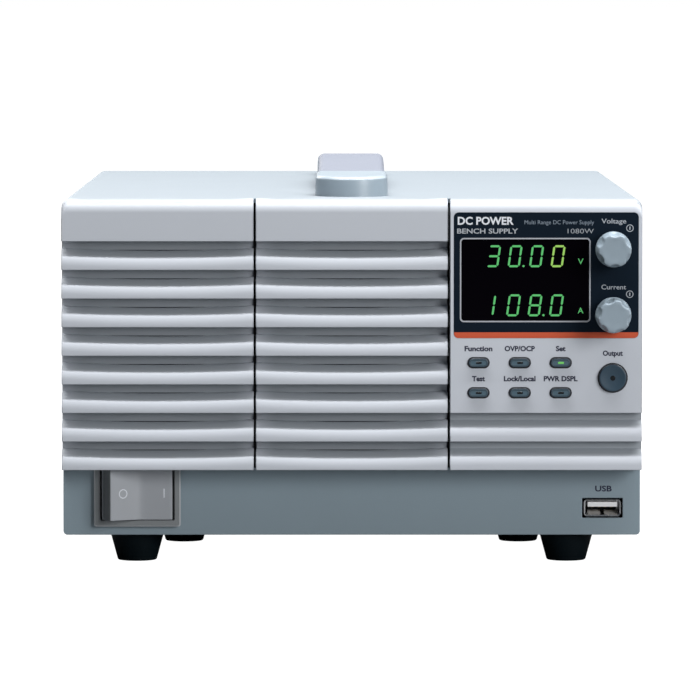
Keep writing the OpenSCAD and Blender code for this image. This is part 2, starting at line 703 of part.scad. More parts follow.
module terminal_block() color([0.09, 0.09, 0.10]) difference() {
    block(terminal_x * [1, 1] + [-1, 1] * block[0] / 2, [rear_y, rear_y + block[2]],
        terminal_z * [1, 1] + [-1, 1] * block[1] / 2);
    for (x = bar_x) block([x - bar_w / 2, x + bar_w / 2], [rear_y - over, rear_y + block[2] + over],
        [terminal_z - bar_t / 2, terminal_z + bar_t / 2]);
}

// A bar through the rear panel, with a cross bar that gathers the three modules' outputs
module bus_bar(x, cross_y, cross_x, cross_z) {
    difference() {
        block([x - bar_w / 2, x + bar_w / 2], [cross_y, bar_end_y],
            [terminal_z - bar_t / 2, terminal_z + bar_t / 2]);
        rod_z(x, bar_hole_y, [terminal_z - bar_t, terminal_z + bar_t], bar_hole_d / 2);
    }
    block(cross_x, [cross_y, cross_y + 3], cross_z);
}

module positive_bus_bar() color([0.75, 0.48, 0.30])
    bus_bar(bar_x[0], back_y - 34, [-92, bar_x[0] + bar_w / 2], [terminal_z - bar_t / 2, terminal_z + 12]);

module negative_bus_bar() color([0.75, 0.48, 0.30])
    bus_bar(bar_x[1], back_y - 28, [-40, bar_x[1] + bar_w / 2], [terminal_z - 14, terminal_z + bar_t / 2]);

// A cap over the terminals, open below for the cables, that pulls off to the rear
module terminal_cover() color([0.16, 0.17, 0.18]) difference() {
    w = block[0] / 2 + fit + cover_wall;
    h = block[1] / 2 + fit + cover_wall;
    translate([terminal_x, 0, terminal_z]) along_y([rear_y + 0.3, rear_y + cover_reach])
        rounded([2 * w, 2 * h], 2);
    block(terminal_x * [1, 1] + [-1, 1] * (w - cover_wall), [rear_y - over, rear_y + cover_reach - cover_wall],
        [terminal_z - h - over, terminal_z + h - cover_wall]);
}

module ground_stud() color([0.78, 0.76, 0.70]) {
    rod_y(ground_x, [back_y - 5, rear_y + 12], ground_z, 2);
    for (y = [back_y - 3, rear_y]) difference() {
        translate([ground_x, y + 3, ground_z]) rotate([90, 0, 0]) cylinder(h = 3, r = 4, $fn = 6);
        rod_y(ground_x, [y - over, y + 4], ground_z, 2);
    }
}

// ---- Other rear connectors ----

module ac_inlet() color([0.07, 0.07, 0.08]) difference() {
    union() {
        translate([inlet_x, 0, inlet_z]) along_y([rear_y, rear_y + 3]) rounded([50, 28], 3);
        block(inlet_x * [1, 1] + [-1, 1] * inlet_body[0] / 2, [rear_y - 24, rear_y],
            inlet_z * [1, 1] + [-1, 1] * inlet_body[1] / 2);
    }
    block([inlet_x - 14, inlet_x + 14], [rear_y - 16, rear_y + 4], [inlet_z - 10, inlet_z + 10]);
}

module inlet_pins() color([0.8, 0.78, 0.74])
    for (p = [[-6.5, -3], [6.5, -3], [0, 4]])
        block([inlet_x + p[0] - 3, inlet_x + p[0] + 3], [rear_y - 16, rear_y - 2],
            [inlet_z + p[1] - 1, inlet_z + p[1] + 1]);

module line_filter() color([0.72, 0.73, 0.74])
    block([inlet_x - 24, inlet_x + 22], [back_y - 60, back_y - 36], [floor_z, floor_z + 30]);

// A panel socket: a metal shell around a moulded insert's opening
module shell_socket(x, z, body, length, mouth, depth) translate([x, 0, z]) difference() {
    block([-1, 1] * body[0] / 2, [rear_y - length, rear_y + 0.8], [-1, 1] * body[1] / 2);
    block([-1, 1] * mouth[0] / 2, [rear_y - depth, rear_y + over], [-1, 1] * mouth[1] / 2);
}

module lan_socket() color([0.75, 0.76, 0.77]) shell_socket(lan_x, lan_z, lan_body, 20, [11.8, 8.4], 13);

module usb_b_socket() color([0.78, 0.79, 0.80]) {
    shell_socket(lan_x, usb_b_z, usb_b_body, 16, [8.5, 7.8], 10);
    block([lan_x - 2.8, lan_x + 2.8], [rear_y - 10, rear_y - 1.5], [usb_b_z - 1.6, usb_b_z + 1.6]);
}

module analog_connectors() color([0.10, 0.10, 0.11]) for (z = analog_rows) {
    difference() {
        block(analog_x * [1, 1] + [-1, 1] * analog_body[0] / 2, [rear_y - 8, rear_y + 2],
            z * [1, 1] + [-1, 1] * analog_body[1] / 2);
        block([analog_x - 18, analog_x + 18], [rear_y - 6, rear_y + 3], [z - 3, z + 3]);
        block([analog_x - 2.2, analog_x + 2.2], [rear_y - 3, rear_y + 3], [z - 5, z - 2.9]);
    }
    for (i = [0 : 12], dz = [-1.27, 1.27]) translate([analog_x - 15.24 + 2.54 * i, 0, z + dz])
        block([-0.32, 0.32], [rear_y - 6, rear_y - 0.5], [-0.32, 0.32]);
}

// ---- Inside ----

module power_boards() color([0.06, 0.30, 0.17]) for (m = module_x) difference() {
    block(m * [1, 1] + [-1, 1] * board_size[0] / 2, [board_y, board_y + board_size[1]], [board_z, board_top]);
    for (dx = [-26, 26], dy = [6, board_size[1] - 6])
        rod_z(m + dx, board_y + dy, [board_z - over, board_z + 3], 1.6);
}

// Extruded heatsinks with upright fins along the air stream
module heatsinks() color([0.62, 0.64, 0.66]) for (m = module_x)
    along_y([board_y + 118, board_y + 228]) translate([m, board_top]) {
        translate([-26, 0]) square([52, 5]);
        for (i = [0 : 8]) translate([-26 + 6.25 * i, 0]) square([2, fin_h]);
    }

module transformers() color([0.20, 0.19, 0.19]) for (m = module_x) {
    block([m - 20, m + 20], [board_y + 72, board_y + 108], [board_top, board_top + 10]);
    block([m - 20, m + 20], [board_y + 72, board_y + 108], [board_top + 30, board_top + 40]);
    rod_z(m, board_y + 90, [board_top + 10, board_top + 30], 17);
}

module bulk_capacitors() color([0.10, 0.12, 0.20]) for (m = module_x, dx = [-15.5, 15.5])
    translate([m + dx, board_y + 38, board_top]) rotate_extrude()
        polygon([[0, 0], [14, 0], [15, 1], [15, 3], [14.4, 3.8], [15, 4.6], [15, 49], [14, 50], [0, 50]]);

// The control board's flat ribbon, the leads from the switch to their terminal strip, and those from
// the inlet to the line filter
module wiring_harness() color([0.55, 0.56, 0.58]) {
    ribbon_y = face_y + board_t0 + board_t;
    ribbon_z = bezel_z + 26;
    along_x([control_x - 12, control_x + 12]) polygon([
        [ribbon_y, ribbon_z], [inner_y + 14, ribbon_z], [board_y + 4, board_top], [board_y + 5.2, board_top],
        [inner_y + 15, ribbon_z + 1], [ribbon_y, ribbon_z + 1]
    ]);
    for (dx = [-9, 9], dz = [-1, 5]) rod_y(switch_x + dx, [panel_y + 22, board_y], switch_z + dz, 1.5);
    block([switch_x - 14, switch_x + 14], [board_y, board_y + 8], [board_top, board_top + 12]);
    for (dx = [-7, 7]) rod_y(inlet_x + dx, [back_y - 36, rear_y - 24], inlet_z - 5, 1.5);
}

// ---- Drawing ----

chassis_tray();
front_panel();
rear_panel();
top_cover();
left_grille();
middle_grille();
control_bezel();
panel_overlay();
display_window();
voltage_display();
current_display();
control_board();
key_switches();
encoder_bodies();
function_key();
protection_key();
set_key();
test_key();
lock_key();
display_key();
output_button();
voltage_knob();
voltage_shaft();
voltage_plunger();
current_knob();
current_shaft();
current_plunger();
switch_housing();
power_rocker();
usb_shell();
usb_tongue();
handle_front_cap();
handle_rear_cap();
handle_strap_front();
handle_strap_rear();
handle_fasteners();
rubber_feet();
case_screws();
rear_screws();
fan_frames();
left_fan_rotor();
middle_fan_rotor();
right_fan_rotor();
fan_guards();
terminal_block();
positive_bus_bar();
negative_bus_bar();
terminal_cover();
ac_inlet();
inlet_pins();
line_filter();
lan_socket();
usb_b_socket();
analog_connectors();
ground_stud();
power_boards();
heatsinks();
transformers();
bulk_capacitors();
wiring_harness();
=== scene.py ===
"""The looks of the bench power supply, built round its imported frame.

Shapes are made in millimetres along the frame's own axes: +X is right and +Z is up as seen from the
front, and the front faces -Y. piece() turns them into metres. Places come from the frame's nodes.
"""
import math
from collections import namedtuple

import bmesh
import bpy
from mathutils import Matrix, Vector


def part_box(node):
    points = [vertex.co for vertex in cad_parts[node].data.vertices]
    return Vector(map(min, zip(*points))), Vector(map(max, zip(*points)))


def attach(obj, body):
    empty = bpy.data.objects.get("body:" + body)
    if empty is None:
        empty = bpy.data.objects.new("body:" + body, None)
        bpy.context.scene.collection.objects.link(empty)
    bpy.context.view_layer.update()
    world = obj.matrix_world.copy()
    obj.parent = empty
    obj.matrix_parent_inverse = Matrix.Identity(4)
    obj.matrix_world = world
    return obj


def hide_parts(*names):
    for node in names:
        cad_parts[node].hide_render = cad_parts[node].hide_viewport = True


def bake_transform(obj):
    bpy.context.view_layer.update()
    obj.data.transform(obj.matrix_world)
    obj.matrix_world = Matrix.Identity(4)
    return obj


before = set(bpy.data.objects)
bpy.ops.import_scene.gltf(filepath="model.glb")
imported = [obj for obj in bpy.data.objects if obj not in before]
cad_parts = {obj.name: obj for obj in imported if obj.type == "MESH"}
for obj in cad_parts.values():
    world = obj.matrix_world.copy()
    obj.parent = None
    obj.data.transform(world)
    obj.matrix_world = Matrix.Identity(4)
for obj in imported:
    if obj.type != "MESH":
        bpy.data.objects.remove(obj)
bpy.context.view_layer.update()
scene = bpy.context.scene
MM = 0.001


# ---- Places, in millimetres ----

def corners(node):
    """Lowest and highest corner of a CAD node"""
    low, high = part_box(node)
    return low / MM, high / MM


def middle(node):
    low, high = corners(node)
    return (low + high) / 2


def around(centre, reach):
    return centre - reach, centre + reach


FACE_Y, BEZEL_Z = corners("middle_grille")[0].yz   # face and underside of the front mouldings
PANEL_Y, TOP_Z = corners("middle_grille")[1].yz    # front of the front panel, top of the case
REAR_Y = corners("rear_panel")[1].y                # outer face of the rear panel
BASE_Z = corners("chassis_tray")[0].z              # underside of the case
CASE_W = 2 * corners("top_cover")[1].x
BEZEL_W = 2 * corners("middle_grille")[1].x
LEFT_X = middle("left_grille").x
CORNER_R = 3                                       # round along the top edges of the case
OVERLAY = corners("panel_overlay")
WINDOW = corners("display_window")


# ---- Shapes ----

def loft(loops, ring=False):
    """A skin over loops of equally many points, closed into a ring or capped at both ends"""
    bm = bmesh.new()
    rows = [[bm.verts.new(point) for point in loop] for loop in loops]
    for near, far in zip(rows, rows[1:] + rows[:1] if ring else rows[1:]):
        for i, j in zip(range(len(near)), [*range(1, len(near)), 0]):
            bm.faces.new((near[i], near[j], far[j], far[i]))
    if not ring:
        bm.faces.new(rows[0])
        bm.faces.new(rows[-1])
    bmesh.ops.recalc_face_normals(bm, faces=bm.faces)
    return bm


def level(outline, along, axis="y"):
    """An outline laid at one place along an axis; it is drawn in the other two axes, in their order"""
    return [{"x": (along, a, b), "y": (a, along, b), "z": (a, b, along)}[axis] for a, b in outline]


def prism(outline, span, axis="y"):
    return loft([level(outline, along, axis) for along in span])


def stacked(stages):
    """A skin over [outline, Y] of equally many points"""
    return loft([level(outline, y) for outline, y in stages])


def frame_prism(outer, inner, y):
    """A frame between two outlines of equally many points"""
    near, far = y
    return loft([level(outer, near), level(outer, far), level(inner, far), level(inner, near)], ring=True)


def box(x, y, z):
    return prism([(x[0], z[0]), (x[1], z[0]), (x[1], z[1]), (x[0], z[1])], y)


def arc(radius, start, end, steps, centre=(0, 0)):
    """Points along an arc, angles in degrees"""
    turns = [math.radians(start + (end - start) * i / steps) for i in range(steps + 1)]
    return [(centre[0] + radius * math.cos(turn), centre[1] + radius * math.sin(turn)) for turn in turns]


def circle(radius, centre=(0, 0), count=48):
    return arc(radius, 0, 360, count, centre)[:-1]


def rectangle(width, height, radius, centre=(0, 0), steps=6):
    """A rectangle with round corners"""
    points = []
    for quarter, (sx, sz) in enumerate(((1, 1), (-1, 1), (-1, -1), (1, -1))):
        corner = (centre[0] + sx * (width / 2 - radius), centre[1] + sz * (height / 2 - radius))
        points += arc(radius, 90 * quarter, 90 * quarter + 90, steps, corner)
    return points


def lathe(profile, centre=(0, 0), axis="y", count=48):
    """A turned shape from [radius, place along the axis]; its first and last radius are above zero"""
    return loft([level(circle(radius, centre, count), along, axis) for radius, along in profile])


def tube(path, radius, ring=False):
    """A round bar along a path in a plane square to Y"""
    points = [Vector(point) for point in path]
    normal = Vector((0, 1, 0))
    loops = []
    for i, point in enumerate(points):
        before = points[i - 1] if ring or i > 0 else point
        after = points[(i + 1) % len(points)] if ring or i < len(points) - 1 else point
        side = (after - before).normalized().cross(normal)
        loops.append([point + side * a + normal * b for a, b in circle(radius, count=10)])
    return loft(loops, ring)


def soften(bm, width, segments=2):
    """Rounds every outer edge that turns by more than 40 degrees"""
    limit = math.radians(40)
    edges = [e for e in bm.edges if len(e.link_faces) == 2 and e.is_convex and e.calc_face_angle() > limit]
    bmesh.ops.bevel(bm, geom=edges, offset=width, segments=segments, profile=0.5, affect="EDGES",
                    material=-1)
    return bm


def painted(bm, index):
    for face in bm.faces:
        face.material_index = index
    return bm


def turned(bm, angle, about):
    """A shape turned about an upright line through a point, by an angle in degrees"""
    bmesh.ops.rotate(bm, verts=bm.verts, cent=about, matrix=Matrix.Rotation(math.radians(angle), 3, "Z"))
    return bm


def merged(parts):
    whole = bmesh.new()
    for part in parts:
        mesh = bpy.data.meshes.new("part")
        part.to_mesh(mesh)
        part.free()
        whole.from_mesh(mesh)
        bpy.data.meshes.remove(mesh)
    return whole


def loose_object(name, bm):
    mesh = bpy.data.meshes.new(name)
    bm.to_mesh(mesh)
    bm.free()
    obj = bpy.data.objects.new(name, mesh)
    scene.collection.objects.link(obj)
    return obj


def carved(bm, *cutters):
    """A shape with others cut out of it, one after another"""
    whole = loose_object("whole", bm)
    tools = [loose_object("cutter", cutter) for cutter in cutters]
    for tool in tools:
        cut = whole.modifiers.new("Cut", "BOOLEAN")
        cut.object = tool
        cut.operation = "DIFFERENCE"
        cut.solver = "EXACT"
    result = bmesh.new()
    result.from_object(whole, bpy.context.evaluated_depsgraph_get())
    for obj in [whole, *tools]:
        bpy.data.meshes.remove(obj.data)
    return result


def piece(name, bm, materials, body, nodes=(), smooth=35):
    """Makes a shape a piece of the object, smooth but for edges that turn by more than an angle"""
    bmesh.ops.remove_doubles(bm, verts=bm.verts, dist=1e-4)
    bmesh.ops.recalc_face_normals(bm, faces=bm.faces)
    bmesh.ops.scale(bm, vec=(MM, MM, MM), verts=bm.verts)
    obj = loose_object(name, bm)
    for used in materials if isinstance(materials, list) else [materials]:
        obj.data.materials.append(used)
    obj.data.shade_smooth()
    obj.data.set_sharp_from_angle(angle=math.radians(smooth))
    even = obj.modifiers.new("Even normals", "WEIGHTED_NORMAL")
    even.keep_sharp = True
    if body:
        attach(obj, body)
    if nodes:
        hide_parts(*nodes)
    return obj


def raw_lettering(text, bold):
    """Lettering of size 1 as a shape in X and Y"""
    curve = bpy.data.curves.new("lettering", "FONT")
    curve.body = text
    curve.offset = bold
    curve.resolution_u = 3
    curve.extrude = 0.01
    obj = bpy.data.objects.new("lettering", curve)
    scene.collection.objects.link(obj)
    graph = bpy.context.evaluated_depsgraph_get()
    mesh = bpy.data.meshes.new_from_object(obj.evaluated_get(graph))
    bm = bmesh.new()
    bm.from_mesh(mesh)
    bpy.data.objects.remove(obj)
    bpy.data.meshes.remove(mesh)
    return bm


def extent(bm, axis):
    places = [v.co[axis] for v in bm.verts]
    return min(places), max(places)


CAP_HEIGHT = extent(raw_lettering("H", 0), 1)[1]
INK_T = 0.02                       # the thickness of printed lettering


def lettering(text, cap, width, x, base, y, rear=False, bold=0.0):
    """Printed lettering with its capitals cap high, width wide, centred on x, on a front or rear face at y"""
    bm = raw_lettering(text, bold)
    left, right = extent(bm, 0)
    side = -1 if rear else 1
    grow = (width / (right - left), cap / CAP_HEIGHT)
    for v in bm.verts:
        a = (v.co.x - (left + right) / 2) * grow[0]
        out = INK_T if v.co.z > 0 else 0
        v.co = (x + side * a, y - side * out, base + v.co.y * grow[1])
    return bm


# ---- Materials ----

def feed(tree, node, values):
    """Sets a node's inputs to numbers and colours, or links them to sockets"""
    for key, value in values.items():
        if isinstance(value, bpy.types.NodeSocket):
            tree.links.new(value, node.inputs[key])
        else:
            node.inputs[key].default_value = value


def add_node(tree, kind, values, **settings):
    """A new shader node with its settings and its inputs"""
    node = tree.nodes.new("ShaderNode" + kind)
    for key, value in settings.items():
        setattr(node, key, value)
    feed(tree, node, values)
    return node


def material(name, colour, roughness, metallic=0.0, drift=0.05, drift_size=30, grain=0.0, grain_size=0.4,
             specular=0.5, stretch=(1, 1, 1), coat=0.0):
    """A surface whose colour and roughness drift a little, with a fine grain; sizes are in millimetres"""
    made = bpy.data.materials.new(name)
    made.use_nodes = True
    tree = made.node_tree
    place = add_node(tree, "TexCoord", {}).outputs["Object"]
    vector = add_node(tree, "Mapping", {"Vector": place, "Scale": stretch}).outputs["Vector"]
    cloud = add_node(tree, "TexNoise", {"Vector": vector, "Scale": 1 / (drift_size * MM), "Detail": 4})
    speck = add_node(tree, "TexNoise", {"Vector": vector, "Scale": 1 / (grain_size * MM), "Detail": 2})
    darker = (*[c * (1 - drift) for c in colour], 1)
    lighter = (*[min(1, c * (1 + drift)) for c in colour], 1)
    tint = add_node(tree, "Mix", {"Factor": cloud.outputs["Fac"], "A": darker, "B": lighter},
                    data_type="RGBA")
    sheen = add_node(tree, "MapRange", {"Value": speck.outputs["Fac"], "To Min": max(0.02, roughness * 0.85),
                                        "To Max": min(1.0, roughness * 1.15)})
    shader = tree.nodes["Principled BSDF"]
    feed(tree, shader, {"Base Color": tint.outputs["Result"], "Roughness": sheen.outputs["Result"],
                        "Metallic": metallic, "Specular IOR Level": specular, "Coat Weight": coat,
                        "Coat Roughness": 0.08})
    if grain:
        bump = add_node(tree, "Bump", {"Height": speck.outputs["Fac"], "Strength": grain,
                                       "Distance": 0.05 * MM})
        feed(tree, shader, {"Normal": bump.outputs["Normal"]})
    return made


def coated(name, colour, roughness, drift=0.03, grain=0.2, grain_size=0.25):
    """Plastic or paint"""
    return material(name, colour, roughness, drift=drift, grain=grain, grain_size=grain_size)


def lit(name, colour, strength):
    """A lamp's surface, a little uneven in colour"""
    made = material(name, [c * 0.4 for c in colour], 0.4, drift_size=2)
    feed(made.node_tree, made.node_tree.nodes["Principled BSDF"],
         {"Emission Color": (*colour, 1), "Emission Strength": strength})
    return made


FLUTE_SHADE_EDGE = 11                     # over how much length the painted shade in the flutes fades out
FLUTE_SHADE_Y = (0.6, 1.8)                # how far behind the face it begins, and where it is full


def moulding_plastic(name, colour, cx, reach):
    """Plastic with painted shade darkening it in the flutes, up to a reach on both sides of the moulding's
    middle
    """
    made = coated(name, colour, 0.5, drift=0.015, grain=0.25)
    tree = made.node_tree
    shader = tree.nodes["Principled BSDF"]
    place = add_node(tree, "TexCoord", {}).outputs["Object"]
    split = add_node(tree, "SeparateXYZ", {"Vector": place})

    def worked_out(operation, *values):
        """A math node's result, from sockets and numbers"""
        return add_node(tree, "Math", dict(enumerate(values)), operation=operation).outputs[0]

    def fade(value, start, end):
        """Rises softly from 0 where the value is start to 1 where it is end"""
        return add_node(tree, "MapRange", {"Value": value, "From Min": start * MM, "From Max": end * MM},
                        interpolation_type="SMOOTHSTEP").outputs["Result"]

    aside = worked_out("ABSOLUTE", worked_out("SUBTRACT", split.outputs["X"], cx * MM))
    sideways = fade(aside, reach, reach - FLUTE_SHADE_EDGE)
    inwards = fade(split.outputs["Y"], FACE_Y + FLUTE_SHADE_Y[0], FACE_Y + FLUTE_SHADE_Y[1])
    unshaded = shader.inputs["Base Color"].links[0].from_socket
    # the flutes' recesses are darkened towards this colour as painted shade
    flute_shade = add_node(tree, "Mix", {"Factor": worked_out("MULTIPLY", sideways, inwards), "A": unshaded,
                                    "B": (0.33, 0.36, 0.395, 1)}, data_type="RGBA")
    feed(tree, shader, {"Base Color": flute_shade.outputs["Result"]})
    return made


# a darker copy of the cover's paint; the difference is painted shade for the front band under the mouldings
panel_paint = coated("panel_paint", (0.245, 0.313, 0.358), 0.45, grain=0.5, grain_size=0.7)
cover_paint = coated("cover_paint", (0.31, 0.35, 0.385), 0.45, grain=0.5, grain_size=0.7)
overlay_film = material("overlay_film", (0.005, 0.011, 0.020), 0.4, drift=0.1, grain=0.15, grain_size=0.15,
                        specular=0.08)
stripe_ink = material("stripe_ink", (0.59, 0.10, 0.045), 0.4, drift=0.03, grain=0.15, grain_size=0.15,
                      specular=0.2)
lens_smoke = material("lens_smoke", (0.0015, 0.001, 0.0022), 0.06, drift=0.1, specular=0.06)
white_ink = material("white_ink", (0.72, 0.75, 0.80), 0.5, drift=0.04, drift_size=1.5)
soft_ink = material("soft_ink", (0.42, 0.45, 0.49), 0.5, drift=0.04, drift_size=1.5)
grey_ink = material("grey_ink", (0.22, 0.27, 0.33), 0.5, drift=0.04, drift_size=1.5)
silver_ink = material("silver_ink", (0.42, 0.44, 0.48), 0.4, drift=0.05, drift_size=3)
dark_ink = material("dark_ink", (0.012, 0.014, 0.04), 0.5, drift=0.1, drift_size=1.5)
knob_plastic = coated("knob_plastic", (0.272, 0.338, 0.392), 0.38, grain_size=0.3)
# near-black plastic for the rims of the keys and the button, painted shade
key_rim_shade = coated("key_rim_shade", (0.012, 0.018, 0.028), 0.4, drift=0.1, grain_size=0.2)
key_plastic = coated("key_plastic", (0.065, 0.115, 0.152), 0.42, drift=0.05, grain_size=0.2)
button_plastic = coated("button_plastic", (0.026, 0.056, 0.086), 0.42, drift=0.05, grain_size=0.2)
# near-black, painted shade in the gaps round the keys and the button
key_well_shade = material("key_well_shade", (0.01, 0.012, 0.016), 0.7, drift=0.1)
lamp_off = material("lamp_off", (0.004, 0.006, 0.008), 0.25, drift=0.1)
rocker_plastic = coated("rocker_plastic", (0.37, 0.39, 0.42), 0.42)
# a darker copy of the rocker's plastic for its end faces, painted shade
rocker_shaded_end = coated("rocker_shaded_end", (0.13, 0.14, 0.15), 0.5)
switch_frame = coated("switch_frame", (0.23, 0.245, 0.255), 0.45, drift=0.05)
# a lighter copy of the frame's plastic for its outer chamfer, a painted highlight
frame_edge_highlight = coated("frame_edge_highlight", (0.42, 0.44, 0.46), 0.35, drift=0.05)
# a lighter copy of the cap plastic for its upward faces, a painted highlight
cap_top_highlight = coated("cap_top_highlight", (0.40, 0.46, 0.51), 0.3, grain=0.25, grain_size=0.3)
cap_plastic = coated("cap_plastic", (0.26, 0.315, 0.36), 0.36, grain=0.25, grain_size=0.3)
strap_skin = coated("strap_skin", (0.215, 0.232, 0.28), 0.55, grain=0.5, grain_size=0.5)
filter_foam = material("filter_foam", (0.006, 0.006, 0.007), 0.9, drift=0.3, drift_size=1, grain=1.0,
                       grain_size=0.6, specular=0.05)
foot_rubber = material("foot_rubber", (0.0015, 0.005, 0.0075), 0.6, drift=0.2, grain=0.4, specular=0.12)
black_plastic = coated("black_plastic", (0.018, 0.018, 0.02), 0.45, drift=0.1, grain=0.3, grain_size=0.3)
cover_plastic = coated("cover_plastic", (0.03, 0.033, 0.037), 0.42, drift=0.08, grain=0.3, grain_size=0.3)
ivory_plastic = material("ivory_plastic", (0.86, 0.86, 0.87), 0.4, drift=0.03)
zinc_steel = material("zinc_steel", (0.62, 0.64, 0.65), 0.36, 0.9, drift=0.12, drift_size=9)
bright_steel = material("bright_steel", (0.70, 0.70, 0.71), 0.28, 0.95, drift=0.06, drift_size=5)
spring_steel = material("spring_steel", (0.50, 0.49, 0.48), 0.5, 0.3, drift=0.08, drift_size=3)
guard_steel = material("guard_steel", (0.62, 0.62, 0.64), 0.22, 0.95, drift_size=6)
fastener_steel = material("fastener_steel", (0.55, 0.55, 0.56), 0.34, 0.9, drift=0.08, drift_size=2)
bar_copper = material("bar_copper", (0.66, 0.36, 0.22), 0.3, 0.95, drift=0.1, drift_size=8,
                      stretch=(1, 0.1, 1))
pin_brass = material("pin_brass", (0.68, 0.53, 0.26), 0.3, 0.95, drift=0.08, drift_size=4)
fin_aluminium = material("fin_aluminium", (0.60, 0.62, 0.64), 0.4, 0.85, drift=0.06, stretch=(1, 0.05, 1))
board_green = material("board_green", (0.02, 0.12, 0.06), 0.4, drift=0.2, drift_size=4, coat=0.3)
core_black = material("core_black", (0.05, 0.045, 0.045), 0.6, drift=0.15, drift_size=6)
can_blue = material("can_blue", (0.03, 0.04, 0.08), 0.3, drift=0.1)
wire_grey = material("wire_grey", (0.30, 0.31, 0.33), 0.5)
lamp_green = lit("lamp_green", (0.10, 0.50, 0.15), 0.66)
lamp_lime = lit("lamp_lime", (0.30, 0.56, 0.11), 0.74)
key_lamp = lit("key_lamp", (0.16, 0.58, 0.12), 0.6)


# ---- Front mouldings ----

EDGE_R = 4.8                       # round along a moulding's top front edge
END_R = 0.22                       # round on a moulding's other edges
POCKET_T = 8                       # where the hollow back begins behind the face
WALL = 2
INSIDE = BEZEL_W / 2 - WALL        # half the width of a hollow back
FLUTE_PITCH = 10.56
SLIT_REACH = 30                    # half the length of an air slit
SLIT_Z = (6.55, 7.2)               # its lower and upper edge over the lower edge of its slat

# A flute is cut to a depth over a slat, which bulges forwards as a roll of a radius. The roll's centre lies
# a rise over the slat's lower edge, and a smile lifts it more towards the moulding's ends.
Flutes = namedtuple("Flutes", "count depth roll rise smile")
GRILLE_FLUTES = Flutes(count=8, depth=6, roll=6, rise=1.0, smile=0.9)
PLAIN_FLUTES = Flutes(count=2, depth=4, roll=6.5, rise=1.8, smile=0)


def case_top(x):
    """Height of the case's outline at x, lower where its top corners are round"""
    d = max(0, abs(x) - (CASE_W / 2 - CORNER_R))
    return TOP_Z - CORNER_R + math.sqrt(max(0, CORNER_R ** 2 - d ** 2))


def moulding_profile(x, u, flutes):
    """A moulding's outline in Y and Z at x; u runs from -1 to 1 along the moulding"""
    top = case_top(x)
    points = [(PANEL_Y, BEZEL_Z), (PANEL_Y, top)]
    points += [(FACE_Y + a, b) for a, b in arc(EDGE_R, 90, 180, 10, (EDGE_R, top - EDGE_R))]
    points.append((FACE_Y, BEZEL_Z + flutes.count * FLUTE_PITCH))
    start = math.degrees(math.acos((flutes.depth - flutes.roll) / flutes.roll))
    for i in reversed(range(flutes.count)):
        low = BEZEL_Z + i * FLUTE_PITCH
        centre = (flutes.roll, low + flutes.rise + flutes.smile * u * u)
        points.append((FACE_Y + flutes.depth, low + FLUTE_PITCH))
        points += [(FACE_Y + a, b) for a, b in arc(flutes.roll, start, 180, 12, centre)]
        points.append((FACE_Y, low))
    return points


def moulding(cx, flutes):
    """A moulding's block; its cross-sections lie closer together where the case's corners are round"""
    half = BEZEL_W / 2
    corner = [CORNER_R * (1 - math.cos(math.radians(15 * i))) for i in range(7)]
    inner = half - CORNER_R
    steps = 20
    offsets = [-half + d for d in corner]
    offsets += [inner * (2 * i / steps - 1) for i in range(1, steps)]
    offsets += [half - d for d in reversed(corner)]
    loops = []
    for dx in offsets:
        x = cx + dx
        loops.append([(x, y, z) for y, z in moulding_profile(x, dx / half, flutes)])
    return soften(loft(loops), END_R)


def grille(cx):
    """A fluted moulding with a hollow back and a slit at the bottom of every flute"""
    slit_y = (FACE_Y + GRILLE_FLUTES.depth - 0.6, FACE_Y + POCKET_T + 1)
    slits = []
    for i in range(GRILLE_FLUTES.count):
        low = BEZEL_Z + i * FLUTE_PITCH
        slits.append(box(around(cx, SLIT_REACH), slit_y, (low + SLIT_Z[0], low + SLIT_Z[1])))
    pocket = box(around(cx, INSIDE), (FACE_Y + POCKET_T, PANEL_Y + 1), (BEZEL_Z + WALL, TOP_Z - WALL))
    return carved(moulding(cx, GRILLE_FLUTES), merged(slits), pocket)


def grille_plastic(cx):
    return moulding_plastic("grille_plastic", (0.51, 0.54, 0.59), cx, 38)


def make_middle_grille():
    piece("middle_grille_moulding", grille(0), grille_plastic(0), "case", ["middle_grille"])


def make_dust_filters():
    """Foam behind the slits, and strips of it in the two gaps between the mouldings"""
    filter_y = (FACE_Y + POCKET_T + 0.3, FACE_Y + POCKET_T + 1.3)
    parts = [box(around(cx, SLIT_REACH + 1), filter_y, (BEZEL_Z + 4, TOP_Z - 14)) for cx in (LEFT_X, 0)]
    parts += [box(around(gap_x, 0.38), (PANEL_Y - 7, PANEL_Y - 6), (BEZEL_Z + 0.5, TOP_Z - 1.5))
              for gap_x in (LEFT_X / 2, -LEFT_X / 2)]
    piece("dust_filters", merged(parts), filter_foam, "case")


def make_left_grille():
    """A grille cut away behind for the power switch"""
    switch = corners("switch_housing")
    x = (switch[0].x - 1, switch[1].x + 1)
    rocker_relief = box(x, (FACE_Y + 2.5, PANEL_Y + 1), (BEZEL_Z - 1, middle("power_rocker").z + 10.4))
    frame_relief = box(x, (FACE_Y + 9, PANEL_Y + 1), (BEZEL_Z - 1, switch[1].z + 0.4))
    piece("left_grille_moulding", carved(grille(LEFT_X), rocker_relief, frame_relief),
          grille_plastic(LEFT_X), "case", ["left_grille"])


KEYS = ["function_key", "protection_key", "set_key", "test_key", "lock_key", "display_key"]
KNOBS = ["voltage_knob", "current_knob"]
KEY_W, KEY_H, KEY_R = 7.6, 3.5, 1.7
BUTTON_R = 5.2
FILM_T = 0.4
LENS = middle("display_window") + Vector((0, 0, 0.22))
LENS_SIZE = WINDOW[1] - WINDOW[0] - Vector((0.2, 0, 0.45))


def lens_outline(grow, radius):
    return rectangle(LENS_SIZE.x + grow, LENS_SIZE.z + grow, radius, (LENS.x, LENS.z))


